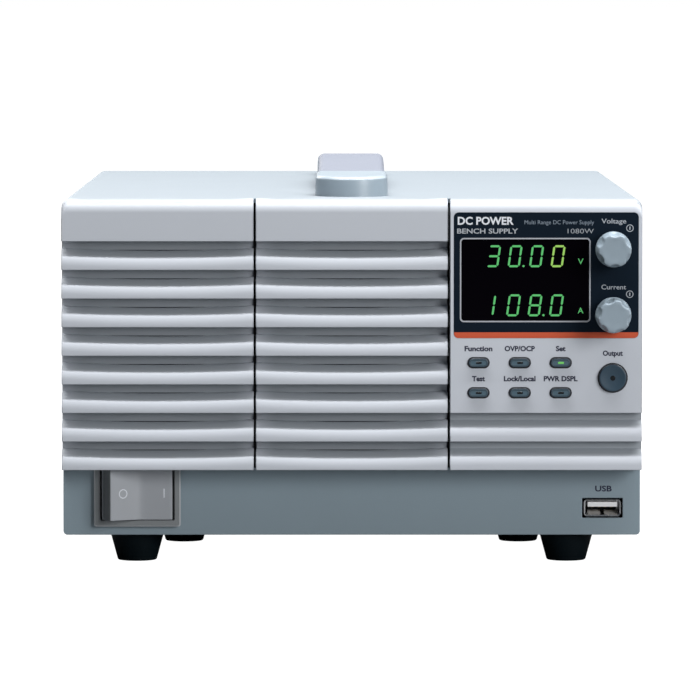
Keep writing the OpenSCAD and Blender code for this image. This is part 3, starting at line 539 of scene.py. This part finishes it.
def overlay_outline(grow, radius):
    size = OVERLAY[1] - OVERLAY[0]
    return rectangle(size.x + grow, size.z + grow, radius, middle("panel_overlay").xz)


def key_outline(key, grow, radius):
    return rectangle(KEY_W + grow, KEY_H + grow, radius, middle(key).xz)


def button_outline(grow):
    return circle(BUTTON_R + grow, middle("output_button").xz, 64)


def make_control_bezel():
    cx = middle("control_bezel").x
    recess = prism(overlay_outline(0.2, 1.8), (FACE_Y - 1, FACE_Y + FILM_T))
    hole_y = (FACE_Y - 1, FACE_Y + 5)
    holes = [prism(lens_outline(0.2, 1), hole_y), prism(button_outline(0.35), hole_y)]
    holes += [prism(circle(3.6, middle(knob).xz, 32), hole_y) for knob in KNOBS]
    holes += [prism(key_outline(key, 0.7, 2.05), hole_y) for key in KEYS]
    floor_z = BEZEL_Z + 22.5
    upper = box(around(cx, INSIDE), (FACE_Y + 3, PANEL_Y + 1), (floor_z, TOP_Z - 3.5))
    lower = box(around(cx, INSIDE), (FACE_Y + POCKET_T, PANEL_Y + 1), (BEZEL_Z + WALL, floor_z - 0.5))
    bezel = carved(moulding(cx, PLAIN_FLUTES), recess, merged(holes), merged([upper, lower]))
    # a lighter copy of the grilles' plastic, painted light that makes up for the knobs' shadow
    plastic = moulding_plastic("bezel_plastic", (0.545, 0.575, 0.63), cx, BEZEL_W / 2 + FLUTE_SHADE_EDGE)
    piece("control_bezel_moulding", bezel, plastic, "case", ["control_bezel"])


# ---- Control panel ----

def make_overlay():
    film = soften(prism(overlay_outline(0, 1.7), (FACE_Y, FACE_Y + FILM_T)), 0.06, 1)
    line_z = OVERLAY[0].z + 2.15
    bmesh.ops.bisect_plane(film, geom=film.verts[:] + film.edges[:] + film.faces[:],
                           plane_co=(0, 0, line_z), plane_no=(0, 0, 1))
    for face in film.faces:
        face.material_index = 1 if face.calc_center_median().z < line_z else 0
    hole_y = (FACE_Y - 1, FACE_Y + 1)
    holes = [prism(lens_outline(0.2, 1), hole_y)]
    holes += [prism(circle(3.7, middle(knob).xz, 32), hole_y) for knob in KNOBS]
    piece("overlay_film", carved(film, merged(holes)), [overlay_film, stripe_ink], "case",
          ["panel_overlay"])


def make_lens():
    """The smoked lens and the silver line printed round it"""
    line_w = 0.5
    line = frame_prism(lens_outline(0.25 + 2 * line_w, 1.5), lens_outline(0.25, 1.05),
                       (FACE_Y - 0.04, FACE_Y + 0.01))
    piece("window_line", line, silver_ink, "case")
    lens = soften(prism(lens_outline(0, 0.95), (WINDOW[0].y, WINDOW[1].y)), 0.12)
    piece("window_lens", lens, lens_smoke, "case", ["display_window"])


SEGMENTS = {"0": "abcdef", "1": "bc", "3": "abcdg", "8": "abcdefg"}
DIGIT_W, DIGIT_H, DIGIT_PITCH, STROKE = 4.5, 8.1, 7.92, 0.74
SEGMENT_GAP = 0.12
SLANT = math.tan(math.radians(8))


def segment(name, x, z, y):
    """One bar of a seven-segment digit whose lower left corner is at x, z"""
    s = STROKE / 2
    w, h = DIGIT_W - STROKE, DIGIT_H - STROKE
    m = h / 2
    start, end = {"a": ((0, h), (w, h)), "b": ((w, m), (w, h)), "c": ((w, 0), (w, m)), "d": ((0, 0), (w, 0)),
                  "e": ((0, 0), (0, m)), "f": ((0, m), (0, h)), "g": ((0, m), (w, m))}[name]
    start, end = Vector(start), Vector(end)
    along = (end - start).normalized()
    side = Vector((-along.y, along.x)) * s
    tips = start + along * SEGMENT_GAP, end - along * SEGMENT_GAP
    near, far = tips[0] + along * s, tips[1] - along * s
    outline = [tips[0], near - side, far - side, tips[1], far + side, near + side]
    return prism([(x + s + c.x + (c.y + s) * SLANT, z + s + c.y) for c in outline], y)


def make_digits(node, reading, shift, unit, lime_place):
    """A display's lit figures; the one at lime_place is of a yellower green"""
    y = (WINDOW[0].y - 0.03, WINDOW[0].y + 0.01)
    first = middle("display_window").x - 14.5 + shift
    base = middle(node).z - DIGIT_H / 2
    parts = []
    place = 0
    for character in reading:
        left = first + place * DIGIT_PITCH
        if character == ".":
            parts.append(prism(circle(0.42, (left - 2, base + 0.42), 16), y))
            continue
        if character == "1":
            left -= 1.2
        colour = 1 if place == lime_place else 0
        parts += [painted(segment(name, left, base, y), colour) for name in SEGMENTS[character]]
        place += 1
    parts.append(lettering(unit, 2.0, 2.1, WINDOW[1].x - 3.15, base + 1.15, WINDOW[0].y, bold=0.012))
    piece(node.replace("_display", "_digits"), merged(parts), [lamp_green, lamp_lime], "case")


def make_overlay_legends():
    left, top = OVERLAY[0].x, OVERLAY[1].z
    film_y = FACE_Y - 0.001

    def printed(text, cap, width, across, drop, bold=0.0):
        """Lettering in the middle of a width, at a distance from the film's left and top edges"""
        return lettering(text, cap, width, left + across, top - drop, film_y, bold=bold)

    soft = [printed("BENCH SUPPLY", 1.75, 22.4, 12.4, 7.7, 0.016),
            printed("1080W", 1.75, 9.6, 46.7, 7.7, -0.012),
            printed("Voltage", 1.7, 9.1, 58.9, 4.0, 0.006),
            printed("Current", 1.7, 9.1, 58.9, 28.3, 0.006)]
    mark_y = (film_y - 0.02, film_y)
    for drop in (5.75, 30.1):
        mark = (left + 64.8, top - drop)
        soft.append(frame_prism(circle(1.36, mark, 32), circle(1.1, mark, 32), mark_y))
        soft.append(prism(rectangle(0.42, 1.25, 0.15, mark, 3), mark_y))
    title = printed("DC POWER", 2.7, 20.6, 11.7, 4.4, 0.03)
    piece("overlay_legends", title, white_ink, "case")
    piece("overlay_soft_legends", merged(soft), soft_ink, "case")
    line = printed("Multi Range DC Power Supply", 1.45, 25.6, 38.8, 4.3)
    piece("overlay_small_legends", line, grey_ink, "case")


def make_key_legends():
    names = {"function_key": ("Function", 10.3), "protection_key": ("OVP/OCP", 11.2), "set_key": ("Set", 3.6),
             "test_key": ("Test", 4.8), "lock_key": ("Lock/Local", 11.7), "display_key": ("PWR DSPL", 12.5)}
    cap, bold = 1.75, 0.04
    parts = [lettering(text, cap, width, middle(key).x, middle(key).z + 4.35, FACE_Y, bold=bold)
             for key, (text, width) in names.items()]
    button = middle("output_button")
    parts.append(lettering("Output", cap, 7.4, button.x, button.z + 8.25, FACE_Y, bold=bold))
    piece("key_legends", merged(parts), dark_ink, "case")
    socket = middle("usb_shell")
    mark = lettering("USB", 2.0, 6.2, socket.x + 0.4, socket.z + 6.2, PANEL_Y + 0.005, bold=0.03)
    piece("socket_mark", mark, dark_ink, "case")


def make_key(name):
    """A dished key with painted shade on its rim, a lamp in its middle and a flange behind the bezel"""
    low, high = corners(name)
    x, z = middle(name).xz
    front = low.y
    stem = [(0.45, high.y), (0.45, FACE_Y + 3.2)]
    sides = [(0, FACE_Y + 3), (0, front + 0.42)]
    rim = [(0.07, front + 0.22), (0.2, front + 0.08), (0.42, front + 0.01), (0.62, front)]
    dish = [(0.8, front + 0.05), (1.0, front + 0.09)]
    body = stacked([(key_outline(name, -2 * inset, KEY_R - inset * 0.98), y)
                    for inset, y in stem + sides + rim + dish])
    for face in body.faces:
        upright = abs(face.normal.y)
        end = len(face.verts) > 4
        dished = face.calc_center_median().y > front + 0.04 and upright > 0.97
        # faces round the key's rim take the near-black plastic, painted shade
        face.material_index = 0 if end or dished or upright > 0.992 else 2
    lamp = prism(rectangle(2.2, 0.8, 0.3, (x + 0.1, z), 4), (front + 0.04, front + 0.6))
    flange = soften(prism(key_outline(name, 1.9, 2.5), (FACE_Y + 3.1, FACE_Y + 4.1)), 0.2)
    parts = [body, painted(soften(lamp, 0.06, 1), 1), flange]
    lamp_surface = key_lamp if name == "set_key" else lamp_off
    piece(name + "_cap", merged(parts), [key_plastic, lamp_surface, key_rim_shade], name, [name])


def make_key_wells():
    """Near-black linings of the holes round the keys and the output button, painted shade in the gaps"""
    well_y = (FACE_Y + 0.15, FACE_Y + 2.9)
    parts = [frame_prism(key_outline(key, 0.72, 2.06), key_outline(key, 0.3, 1.85), well_y) for key in KEYS]
    parts.append(frame_prism(button_outline(0.36), button_outline(0.15), well_y))
    piece("key_wells", merged(parts), key_well_shade, "case")


def make_output_button():
    low, high = corners("output_button")
    x, z = middle("output_button").xz
    front, r, edge_r = low.y, BUTTON_R, 0.55
    stem = [(3, high.y), (3, FACE_Y + 4.1)]
    flange = [(r + 1.1, FACE_Y + 4.1), (r + 1.1, FACE_Y + 3.1)]
    side = [(r, FACE_Y + 3.1), (r, front + 0.6)]
    edge = [(r - edge_r + a, front + 0.6 - b) for a, b in arc(edge_r, 0, 90, 5)][1:]
    dish = [(r - edge_r - (r - 1.6) * d / 8, front + 0.05 + 0.32 * math.sin(math.pi * d / 16))
            for d in range(1, 9)]
    cap = lathe(stem + flange + side + edge + dish, (x, z), count=64)
    for face in cap.faces:
        reach = max(math.hypot(v.co.x - x, v.co.z - z) for v in face.verts)
        # the button's outer edge takes the same near-black plastic, painted shade
        face.material_index = 2 if len(face.verts) == 4 and reach > r - 0.3 else 0
    lamp = soften(lathe([(0.95, front + 1.2), (0.95, front + 0.3)], (x, z), count=32), 0.08)
    piece("output_button_cap", merged([cap, painted(lamp, 1)]), [button_plastic, lamp_off, key_rim_shade],
          "output_button", ["output_button"])


def make_knob(node, body, phase):
    """A knob with a plain skirt and six shallow flutes along its body"""
    low, high = corners(node)
    x, z = middle(node).xz
    r = (high.x - low.x) / 2
    front, back = low.y, high.y
    flute_r, count = 3.3, 180
    blend = 0.18

    def fluted(radius, valley, inset=0.0):
        """A circle with flutes down to the valley's radius, drawn in by an inset"""
        points = []
        centre_r = valley + flute_r
        cut = flute_r + inset
        for i in range(count):
            turn = 2 * math.pi * i / count
            off = (turn - math.radians(phase) + math.pi / 6) % (math.pi / 3) - math.pi / 6
            edge = radius - inset
            if abs(centre_r * math.sin(off)) < cut:
                hollow = centre_r * math.cos(off) - math.sqrt(cut ** 2 - (centre_r * math.sin(off)) ** 2)
                near = max(blend - abs(hollow - edge), 0) / blend
                edge = min(hollow, edge) - near ** 3 * blend / 6
            points.append((x + edge * math.cos(turn), z + edge * math.sin(turn)))
        return points

    skirt = [(r - 0.5, back), (r, back - 0.3), (r, back - 1.9), (r - 0.12, back - 2.15)]
    stages = [(circle(radius, (x, z), count), y) for radius, y in skirt]
    start, reach = back - 2.3, back - 2.3 - front
    for share in (0, 0.03, 0.08, 0.16, 0.5, 0.8, 0.95):
        radius = r - 0.15 - 0.45 * share
        deepening = 0.78 * min(1, share / 0.16) ** 0.5
        stages.append((fluted(radius, radius - 0.12 - deepening), start - reach * share))
    for inset, fall in ((0.04, 0.34), (0.13, 0.16), (0.28, 0.05), (0.48, 0)):
        stages.append((fluted(r - 0.6, r - 1.5, inset), front + fall))
    for radius, fall in ((4.2, 0.05), (2.2, 0.1)):
        stages.append((circle(radius, (x, z), count), front + fall))
    piece(node + "_cap", stacked(stages), knob_plastic, body, [node], smooth=45)


# ---- Power switch and front USB socket ----

def make_switch():
    low, high = corners("switch_housing")
    x, z = middle("switch_housing").xz
    width, height = high.x - low.x, high.z - low.z
    opening = rectangle(27.4, 20.2, 0.5, (x, z))
    body = rectangle(29.6, 21.8, 0.6, (x, z))
    rim = rectangle(width, height, 0.9, (x, z))
    crest = rectangle(width - 0.9, height - 0.9, 0.6, (x, z))
    lip = rectangle(27.9, 20.7, 0.6, (x, z))
    floor = rectangle(20, 14, 0.5, (x, z))
    floor_y = high.y - 10
    housing = stacked([(body, high.y), (body, PANEL_Y + 0.01), (rim, PANEL_Y + 0.01), (rim, low.y + 0.35),
                       (crest, low.y), (lip, low.y), (opening, low.y + 0.3), (opening, floor_y),
                       (floor, floor_y)])
    for face in housing.faces:
        place = face.calc_center_median()
        outside = abs(place.x - x) > 14.5 or abs(place.z - z) > 11
        # faces on the frame's outer chamfer take the lighter copy, a painted highlight
        face.material_index = 1 if outside and low.y < place.y < low.y + 0.3 else 0
    piece("switch_frame_housing", housing, [switch_frame, frame_edge_highlight], "case",
          ["switch_housing"])


# The rocker turns about a line 1 mm behind the panel's front. Its round ends run on a radius about that
# line, and its front is a shallow valley between two tips.
ROCKER_R, ROCKER_TIP, ROCKER_VALLEY, ROCKER_TURN = 13.44, 11.7, 3.61, 14.35
ROCKER_RISE = math.sqrt(ROCKER_R ** 2 - ROCKER_TIP ** 2) - ROCKER_VALLEY
ROCKER_SLOPE = ROCKER_RISE / ROCKER_TIP


def rocker_front(a):
    """How far in front of its axis the rocker's front lies, at a distance from its middle"""
    return ROCKER_VALLEY + ROCKER_SLOPE * math.sqrt(a * a + 1.6) - 0.15


def make_rocker():
    x, z = middle("switch_housing").xz
    axis_y = PANEL_Y + 1
    half_h = 9.9
    steps = 24
    places = [ROCKER_TIP * (2 * i / steps - 1) for i in range(steps + 1)]
    front = [(a, -rocker_front(a)) for a in places]
    tip_angle = math.degrees(math.atan2(ROCKER_TIP, ROCKER_VALLEY + ROCKER_RISE))
    turns = [math.radians(t) for t in (tip_angle + 3, tip_angle + 12, 84, 98)]
    right_end = [(ROCKER_R * math.sin(t), -ROCKER_R * math.cos(t)) for t in turns]
    left_end = [(-a, b) for a, b in reversed(right_end)]
    outline = [(x + a, axis_y + b) for a, b in left_end + front + right_end]
    bar = soften(prism(outline, around(z, half_h), "z"), 0.35)
    for face in bar.faces:
        place = face.calc_center_median()
        # the faces at both ends of the bar take the darker copy, painted shade
        face.material_index = 2 if abs(place.x - x) > ROCKER_TIP - 0.12 and place.y < axis_y else 0

    def inlay(shape, across):
        """Lays a mark, drawn round the origin, on the rocker's front at a distance from its middle"""
        tilt = math.degrees(math.atan(ROCKER_SLOPE)) * (1 if across < 0 else -1)
        turned(shape, tilt, (0, 0, 0))
        place = (x + across, axis_y - rocker_front(across) - 0.01, z)
        bmesh.ops.translate(shape, verts=shape.verts, vec=place)
        return painted(shape, 1)

    mark_y = (-0.02, 0.01)
    ring = inlay(frame_prism(circle(1.75, count=40), circle(1.38, count=40), mark_y), -6.6)
    line = inlay(prism(rectangle(0.45, 3.4, 0.1, steps=2), mark_y), 8.8)
    rocker = turned(merged([bar, ring, line]), ROCKER_TURN, (x, axis_y, z))
    piece("rocker_cap", rocker, [rocker_plastic, white_ink, rocker_shaded_end], "power_rocker",
          ["power_rocker"])


def make_usb_shell():
    """The socket's flared shell with two springs on its floor"""
    x, z = middle("usb_shell").xz
    outer = rectangle(13.3, 5.8, 1.0, (x, z))
    inner = rectangle(12.8, 5.3, 0.8, (x, z))
    flare = rectangle(13.65, 6.15, 1.15, (x, z))
    end = rectangle(8, 3, 0.5, (x, z))
    front, back = PANEL_Y - 0.15, PANEL_Y + 14
    shell = stacked([(outer, back), (outer, front + 0.9), (flare, front + 0.25), (flare, front),
                     (inner, front + 0.35), (inner, back - 1), (end, back - 1)])
    side = [(front + 0.9, z - 2.62), (front + 6, z - 1.1), (front + 8, z - 1.3), (front + 8, z - 1.5),
            (front + 6, z - 1.35), (front + 1.0, z - 2.64)]
    springs = [painted(prism(side, around(x + dx, 2.3), "x"), 1) for dx in (-3.1, 3.1)]
    piece("usb_socket_shell", merged([shell, *springs]), [bright_steel, spring_steel], "case",
          ["usb_shell"])


def make_usb_tongue():
    x, z = middle("usb_shell").xz
    low, high = corners("usb_tongue")
    tongue = soften(box(around(x, 5.45), (PANEL_Y + 0.45, high.y), (low.z + 0.1, high.z)), 0.15)
    base = painted(box(around(x, 5.6), (high.y - 1, high.y), around(z, 2.6)), 2)
    contact_y, contact_z = (PANEL_Y + 1.6, high.y - 2), (low.z - 0.08, low.z + 0.15)
    contacts = [painted(box(around(x + dx, 0.55), contact_y, contact_z), 1)
                for dx in (-3.5, -1.05, 1.05, 3.5)]
    piece("usb_socket_tongue", merged([tongue, base, *contacts]), [ivory_plastic, pin_brass, black_plastic],
          "case", ["usb_tongue"])


# ---- Handle ----

def make_handle_cap(node, s):
    """An end cap with a round outer end, s = -1 at the front and 1 at the rear"""
    low, high = corners(node)
    outer, mouth = (low.y, high.y) if s < 0 else (high.y, low.y)
    r = high.x
    outer_h = 7.3
    rise = (high.z - TOP_Z - outer_h) / abs(outer - mouth)

    def contour(inset, share, drop=0.0):
        """The cap's outline drawn in by inset but for its mouth, at a share of its height less a drop"""
        reach = r - inset
        plan = [(a, outer - s * r + s * b) for a, b in arc(reach, 0, 180, 24)]
        plan += [(-reach, mouth), (reach, mouth)]
        return [(a, y, TOP_Z + share * (outer_h + rise * abs(y - outer)) - drop) for a, y in plan]

    edge_r = 1.9
    loops = [contour(0.3, 0), contour(0.32, 0.08), contour(0.4, 0.55)]
    loops += [contour(0.5 + edge_r - a, 1, edge_r - b) for a, b in arc(edge_r, 15, 90, 5)]
    shape = loft(loops)
    for face in shape.faces:
        # faces that look upwards take the lighter copy, a painted highlight
        face.material_index = 1 if face.normal.z > 0.55 else 0
    throat = prism(rectangle(25.8, 6.9, 1.2, (0, TOP_Z + 3.65)), sorted((mouth - s, mouth + s * 10)))
    piece(node + "_shell", carved(shape, throat), [cap_plastic, cap_top_highlight], "case", [node],
          smooth=40)


def make_strap():
    """One strap over both CAD halves, which bends smoothly across their hinge"""
    front, rear = corners("handle_strap_front"), corners("handle_strap_rear")
    half_w, thick = front[1].x + 0.35, 4.3
    start, end = front[0].y, rear[1].y
    mid = (front[1].y + rear[0].y) / 2
    foot, crown = front[0].z, front[1].z
    reach = abs(corners("handle_front_cap")[1].y - mid)
    lower_r, upper_r = 1.6, 2.4
    side = [(half_w - lower_r + a, lower_r + b) for a, b in arc(lower_r, -90, 0, 5)]
    side += [(half_w - upper_r + a, thick - upper_r + b) for a, b in arc(upper_r, 0, 90, 7)]
    section = side + [(-a, b) for a, b in reversed(side)]
    steps = 60
    loops = []
    for i in range(steps + 1):
        y = start + (end - start) * i / steps
        share = min(1, abs(y - mid) / reach)
        base = foot + (crown - thick - foot) * (1 + math.cos(math.pi * share)) / 2
        loops.append([(a, y, base + b) for a, b in section])
    strap = piece("strap", loft(loops), strap_skin, None,
                  ["handle_strap_front", "handle_strap_rear"])
    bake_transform(strap)


# ---- Feet ----

def make_feet():
    bottom, top, hole = 7.4, 10.1, 3.8
    tread = [(hole, 5.9), (hole, 0.35), (hole + 0.35, 0), (bottom - 0.8, 0)]
    edge = [(bottom - 0.8 + a, 0.8 + b) for a, b in arc(0.8, -72, -12, 4)]
    rim = [(top - 0.25, BASE_Z - 0.6), (top, BASE_Z - 0.25), (top - 0.1, BASE_Z)]
    for row, (x, dy) in {"front": (80, 25), "middle": (64.4, 105), "rear": (80, 325)}.items():
        for side, s in (("left", -1), ("right", 1)):
            foot = lathe(tread + edge + rim, (s * x, FACE_Y + dy), "z", 56)
            nodes = ["rubber_feet"] if (row, side) == ("front", "left") else []
            piece(f"{row}_{side}_foot", foot, foot_rubber, "case", nodes)


# ---- Rear ----

FANS = ["left", "middle", "right"]
SCREW_REACH = 25                   # a fan's screws lie this far from its axis in X and in Z
GUARD_WIRE_R = 0.8
EYE_R = 2.7                        # a screw eye's middle line


def wire_ring(x, z, radius, count):
    ring = [(x + a, REAR_Y + 0.85, z + b) for a, b in circle(radius, count=count)]
    return tube(ring, GUARD_WIRE_R, ring=True)


def guard(x, z):
    """A finger guard of wire rings on a cross that ends in screw eyes"""
    parts = [wire_ring(x, z, radius, 64) for radius in (6.2, 13.2, 20.2, 26.7)]
    centre = Vector((x, REAR_Y + 1, z))
    reach = SCREW_REACH * math.sqrt(2) - EYE_R - 0.5
    for turn in (math.radians(45), math.radians(135)):
        spoke = reach * Vector((math.cos(turn), 0, math.sin(turn)))
        parts.append(tube([centre - spoke, centre + spoke], GUARD_WIRE_R))
    for dx in (-SCREW_REACH, SCREW_REACH):
        for dz in (-SCREW_REACH, SCREW_REACH):
            parts.append(wire_ring(x + dx, z + dz, EYE_R, 32))
    return parts


def make_guards():
    parts = []
    for fan in FANS:
        parts += guard(*middle(fan + "_fan_rotor").xz)
    piece("fan_guard_wires", merged(parts), guard_steel, "case", ["fan_guards"])


HUB_R, BLADE_R, BLADES = 13, 26.5, 7


def blade(x, y, z, start):
    """A fan blade from inside its hub to its tip, flatter, longer and further swept towards the tip"""
    root, reach = HUB_R - 0.4, 9.3
    steps, count = 8, 8
    loops = []
    for i in range(steps + 1):
        share = i / steps
        radius = root + (BLADE_R - root) * share
        pitch = math.radians(52 - 20 * share)
        chord = 15 + 4 * share
        sweep = start + math.radians(14 * share * share)
        places = [j / count - 0.5 for j in range(count + 1)]
        section = [(chord * place, 0.55 + 1.4 * (1 - 4 * place * place)) for place in places]
        section += [(a, b - 1.1) for a, b in reversed(section)]
        loop = []
        for a, b in section:
            turn = (a * math.cos(pitch) - b * math.sin(pitch)) / radius + sweep
            along = max(-reach, min(reach, a * math.sin(pitch) + b * math.cos(pitch)))
            loop.append((x + radius * math.cos(turn), y + along, z + radius * math.sin(turn)))
        loops.append(loop)
    return loft(loops)


def make_rotor(fan):
    node = fan + "_fan_rotor"
    low, high = corners(node)
    x, z = middle(node).xz
    hub = lathe([(11.6, high.y), (HUB_R, high.y), (HUB_R, low.y + 0.8), (12.2, low.y), (6, low.y),
                 (5.6, low.y + 0.25), (1, low.y + 0.25)], (x, z))
    mid_y = (low.y + high.y - 1) / 2
    blades = [blade(x, mid_y, z, 2 * math.pi * i / BLADES) for i in range(BLADES)]
    piece(fan + "_rotor_blades", merged([hub, *blades]), black_plastic, fan + "_fan", [node])


def make_rear_legends():
    labels = [("terminal_block", "DC OUTPUT", 2.4, 20, 4.5), ("ac_inlet", "AC INPUT", 2.4, 16, 2.5),
              ("lan_socket", "LAN", 2.0, 6, 1.6), ("usb_b_socket", "USB", 2.0, 6, 1.6),
              ("analog_connectors", "ANALOG CONTROL", 2.0, 26, 2)]
    parts = [lettering(text, cap, width, middle(node).x, corners(node)[1].z + gap, REAR_Y + 0.005, rear=True,
                       bold=0.008) for node, text, cap, width, gap in labels]
    piece("rear_legends", merged(parts), white_ink, "case")


def make_terminal_marks():
    """A plus and a minus on the cover, behind the two bus bars"""
    z = middle("terminal_block").z + 8
    y = around(corners("terminal_cover")[1].y, 0.01)
    plus_x, minus_x = [corners(bar)[1].x - 11 for bar in ("positive_bus_bar", "negative_bus_bar")]
    strokes = [(plus_x, 5, 1), (plus_x, 1, 5), (minus_x, 5, 1)]
    parts = [prism(rectangle(width, height, 0.2, (x, z), 2), y) for x, width, height in strokes]
    piece("terminal_marks", merged(parts), white_ink, "terminal_cover")


# ---- CAD nodes that stay ----

# Each material with the bevel of its nodes' edges
KEPT = [
    (zinc_steel, 0.15, ["chassis_tray"]),
    (panel_paint, 0.3, ["front_panel"]),
    (panel_paint, 0.25, ["rear_panel"]),
    (cover_paint, 0.3, ["top_cover"]),
    (zinc_steel, 0.2, ["encoder_bodies", "voltage_shaft", "current_shaft"]),
    (ivory_plastic, 0.15, ["voltage_plunger", "current_plunger"]),
    (fastener_steel, 0.2, ["handle_fasteners", "rear_screws"]),
    (fastener_steel, 0.12, ["case_screws"]),
    (black_plastic, 0.1, ["analog_connectors"]),
    (black_plastic, 0.2, ["voltage_display", "current_display", "key_switches"]),
    (black_plastic, 0.3, ["fan_frames"]),
    (black_plastic, 0.4, ["terminal_block", "ac_inlet"]),
    (bar_copper, 0.3, ["positive_bus_bar", "negative_bus_bar"]),
    (cover_plastic, 0.5, ["terminal_cover"]),
    (pin_brass, 0.25, ["inlet_pins"]),
    (pin_brass, 0.2, ["ground_stud"]),
    (bright_steel, 0.4, ["line_filter"]),
    (bright_steel, 0.2, ["lan_socket", "usb_b_socket"]),
    (board_green, 0.1, ["control_board", "power_boards"]),
    (fin_aluminium, 0.2, ["heatsinks"]),
    (core_black, 0.5, ["transformers"]),
    (can_blue, 0.2, ["bulk_capacitors"]),
    (wire_grey, 0.2, ["wiring_harness"]),
]


def finish_node(name, used, bevel_w):
    """Gives a CAD node its material and soft edges; modifiers leave its own mesh as it is"""
    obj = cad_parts[name]
    obj.data.materials.clear()
    obj.data.materials.append(used)
    obj.data.shade_smooth()
    weld = obj.modifiers.new("Weld", "WELD")
    weld.merge_threshold = 0.002 * MM
    flat = obj.modifiers.new("Flat faces", "DECIMATE")
    flat.decimate_type = "DISSOLVE"
    flat.angle_limit = math.radians(1)
    edge = obj.modifiers.new("Edges", "BEVEL")
    edge.width = bevel_w * MM
    edge.segments = 2
    edge.limit_method = "ANGLE"
    edge.angle_limit = math.radians(40)
    edge.harden_normals = True
    even = obj.modifiers.new("Even normals", "WEIGHTED_NORMAL")
    even.keep_sharp = True


# ---- Stage ----

def for_camera(tree, seen, unseen):
    """One shader where the camera looks, and another for all other rays"""
    path = add_node(tree, "LightPath", {})
    return add_node(tree, "MixShader", {0: path.outputs["Is Camera Ray"], 1: unseen.outputs[0],
                                        2: seen.outputs[0]}).outputs[0]


def make_floor():
    """A floor that takes shadows and looks white to the camera"""
    mesh = bmesh.new()
    bmesh.ops.create_grid(mesh, x_segments=1, y_segments=1, size=60)
    floor = loose_object("floor", mesh)
    made = bpy.data.materials.new("floor")
    made.use_nodes = True
    tree = made.node_tree
    shader = tree.nodes["Principled BSDF"]
    feed(tree, shader, {"Base Color": (0.18, 0.185, 0.19, 1), "Roughness": 1, "Specular IOR Level": 0})
    glow = add_node(tree, "Emission", {"Strength": 1.05})
    total = add_node(tree, "AddShader", {0: shader.outputs[0], 1: glow.outputs[0]})
    feed(tree, tree.nodes["Material Output"], {"Surface": for_camera(tree, total, shader)})
    floor.data.materials.append(made)


def make_world():
    """White to the camera, and a faint light for the rest"""
    world = bpy.data.worlds.new("studio")
    scene.world = world
    world.use_nodes = True
    tree = world.node_tree
    tree.nodes.clear()
    white = add_node(tree, "Background", {"Color": (1, 1, 1, 1), "Strength": 1})
    soft = add_node(tree, "Background", {"Color": (0.97, 0.985, 1, 1), "Strength": 0.03})
    add_node(tree, "OutputWorld", {"Surface": for_camera(tree, white, soft)})
    scene.view_settings.view_transform = "Standard"


def area_light(name, place, aim, size, power):
    """A soft box that faces a point; its width runs level, square to the way that it faces"""
    lamp = bpy.data.lights.new(name, "AREA")
    lamp.shape = "RECTANGLE"
    lamp.size, lamp.size_y = size
    lamp.energy = power
    obj = bpy.data.objects.new(name, lamp)
    scene.collection.objects.link(obj)
    obj.location = place
    obj.rotation_euler = (Vector(aim) - Vector(place)).to_track_quat("-Z", "Y").to_euler()


def make_lights():
    """Places, aims and sizes are in metres, and powers in watts"""
    face, top = FACE_Y * MM, TOP_Z * MM
    area_light("overhead_strip", (0.3, face - 0.175, top + 1.08), (0.3, face + 0.05, top), (2.2, 0.08), 30.5)
    area_light("front_fill", (1.3, face - 1.5, 0.65), (0, face, 0.08), (0.9, 0.9), 25.5)
    area_light("rear_top", (0.1, face + 0.45, top + 1.1), (0.1, face + 0.25, top), (0.9, 0.5), 16)
    area_light("rear_fill", (-0.9, 1.7, 0.9), (0, 0.15, 0.08), (1.2, 0.9), 10)


def make_camera():
    """Straight on and far away, a little above the case"""
    data = bpy.data.cameras.new("camera")
    data.sensor_width = 36
    data.lens = 316.6
    camera = bpy.data.objects.new("camera", data)
    scene.collection.objects.link(camera)
    place = Vector((-5.1, FACE_Y - 2265, TOP_Z + 78)) * MM
    aim = Vector((-0.66, FACE_Y, TOP_Z - 55.58)) * MM
    camera.location = place
    camera.rotation_euler = (aim - place).to_track_quat("-Z", "Y").to_euler()
    scene.camera = camera


make_camera()
make_floor()
make_world()
make_lights()
make_middle_grille()
make_dust_filters()
make_left_grille()
make_control_bezel()
make_overlay()
make_lens()
make_digits("voltage_display", "30.00", 0, "V", lime_place=3)
make_digits("current_display", "108.0", -0.55, "A", lime_place=None)
make_overlay_legends()
make_key_legends()
for key in KEYS:
    make_key(key)
make_key_wells()
make_output_button()
make_knob("voltage_knob", "voltage_dial", 30)
make_knob("current_knob", "current_dial", 47)
make_switch()
make_rocker()
make_usb_shell()
make_usb_tongue()
make_handle_cap("handle_front_cap", -1)
make_handle_cap("handle_rear_cap", 1)
make_strap()
make_feet()
make_guards()
for fan in FANS:
    make_rotor(fan)
make_rear_legends()
make_terminal_marks()
for used, bevel_w, names in KEPT:
    for name in names:
        finish_node(name, used, bevel_w)
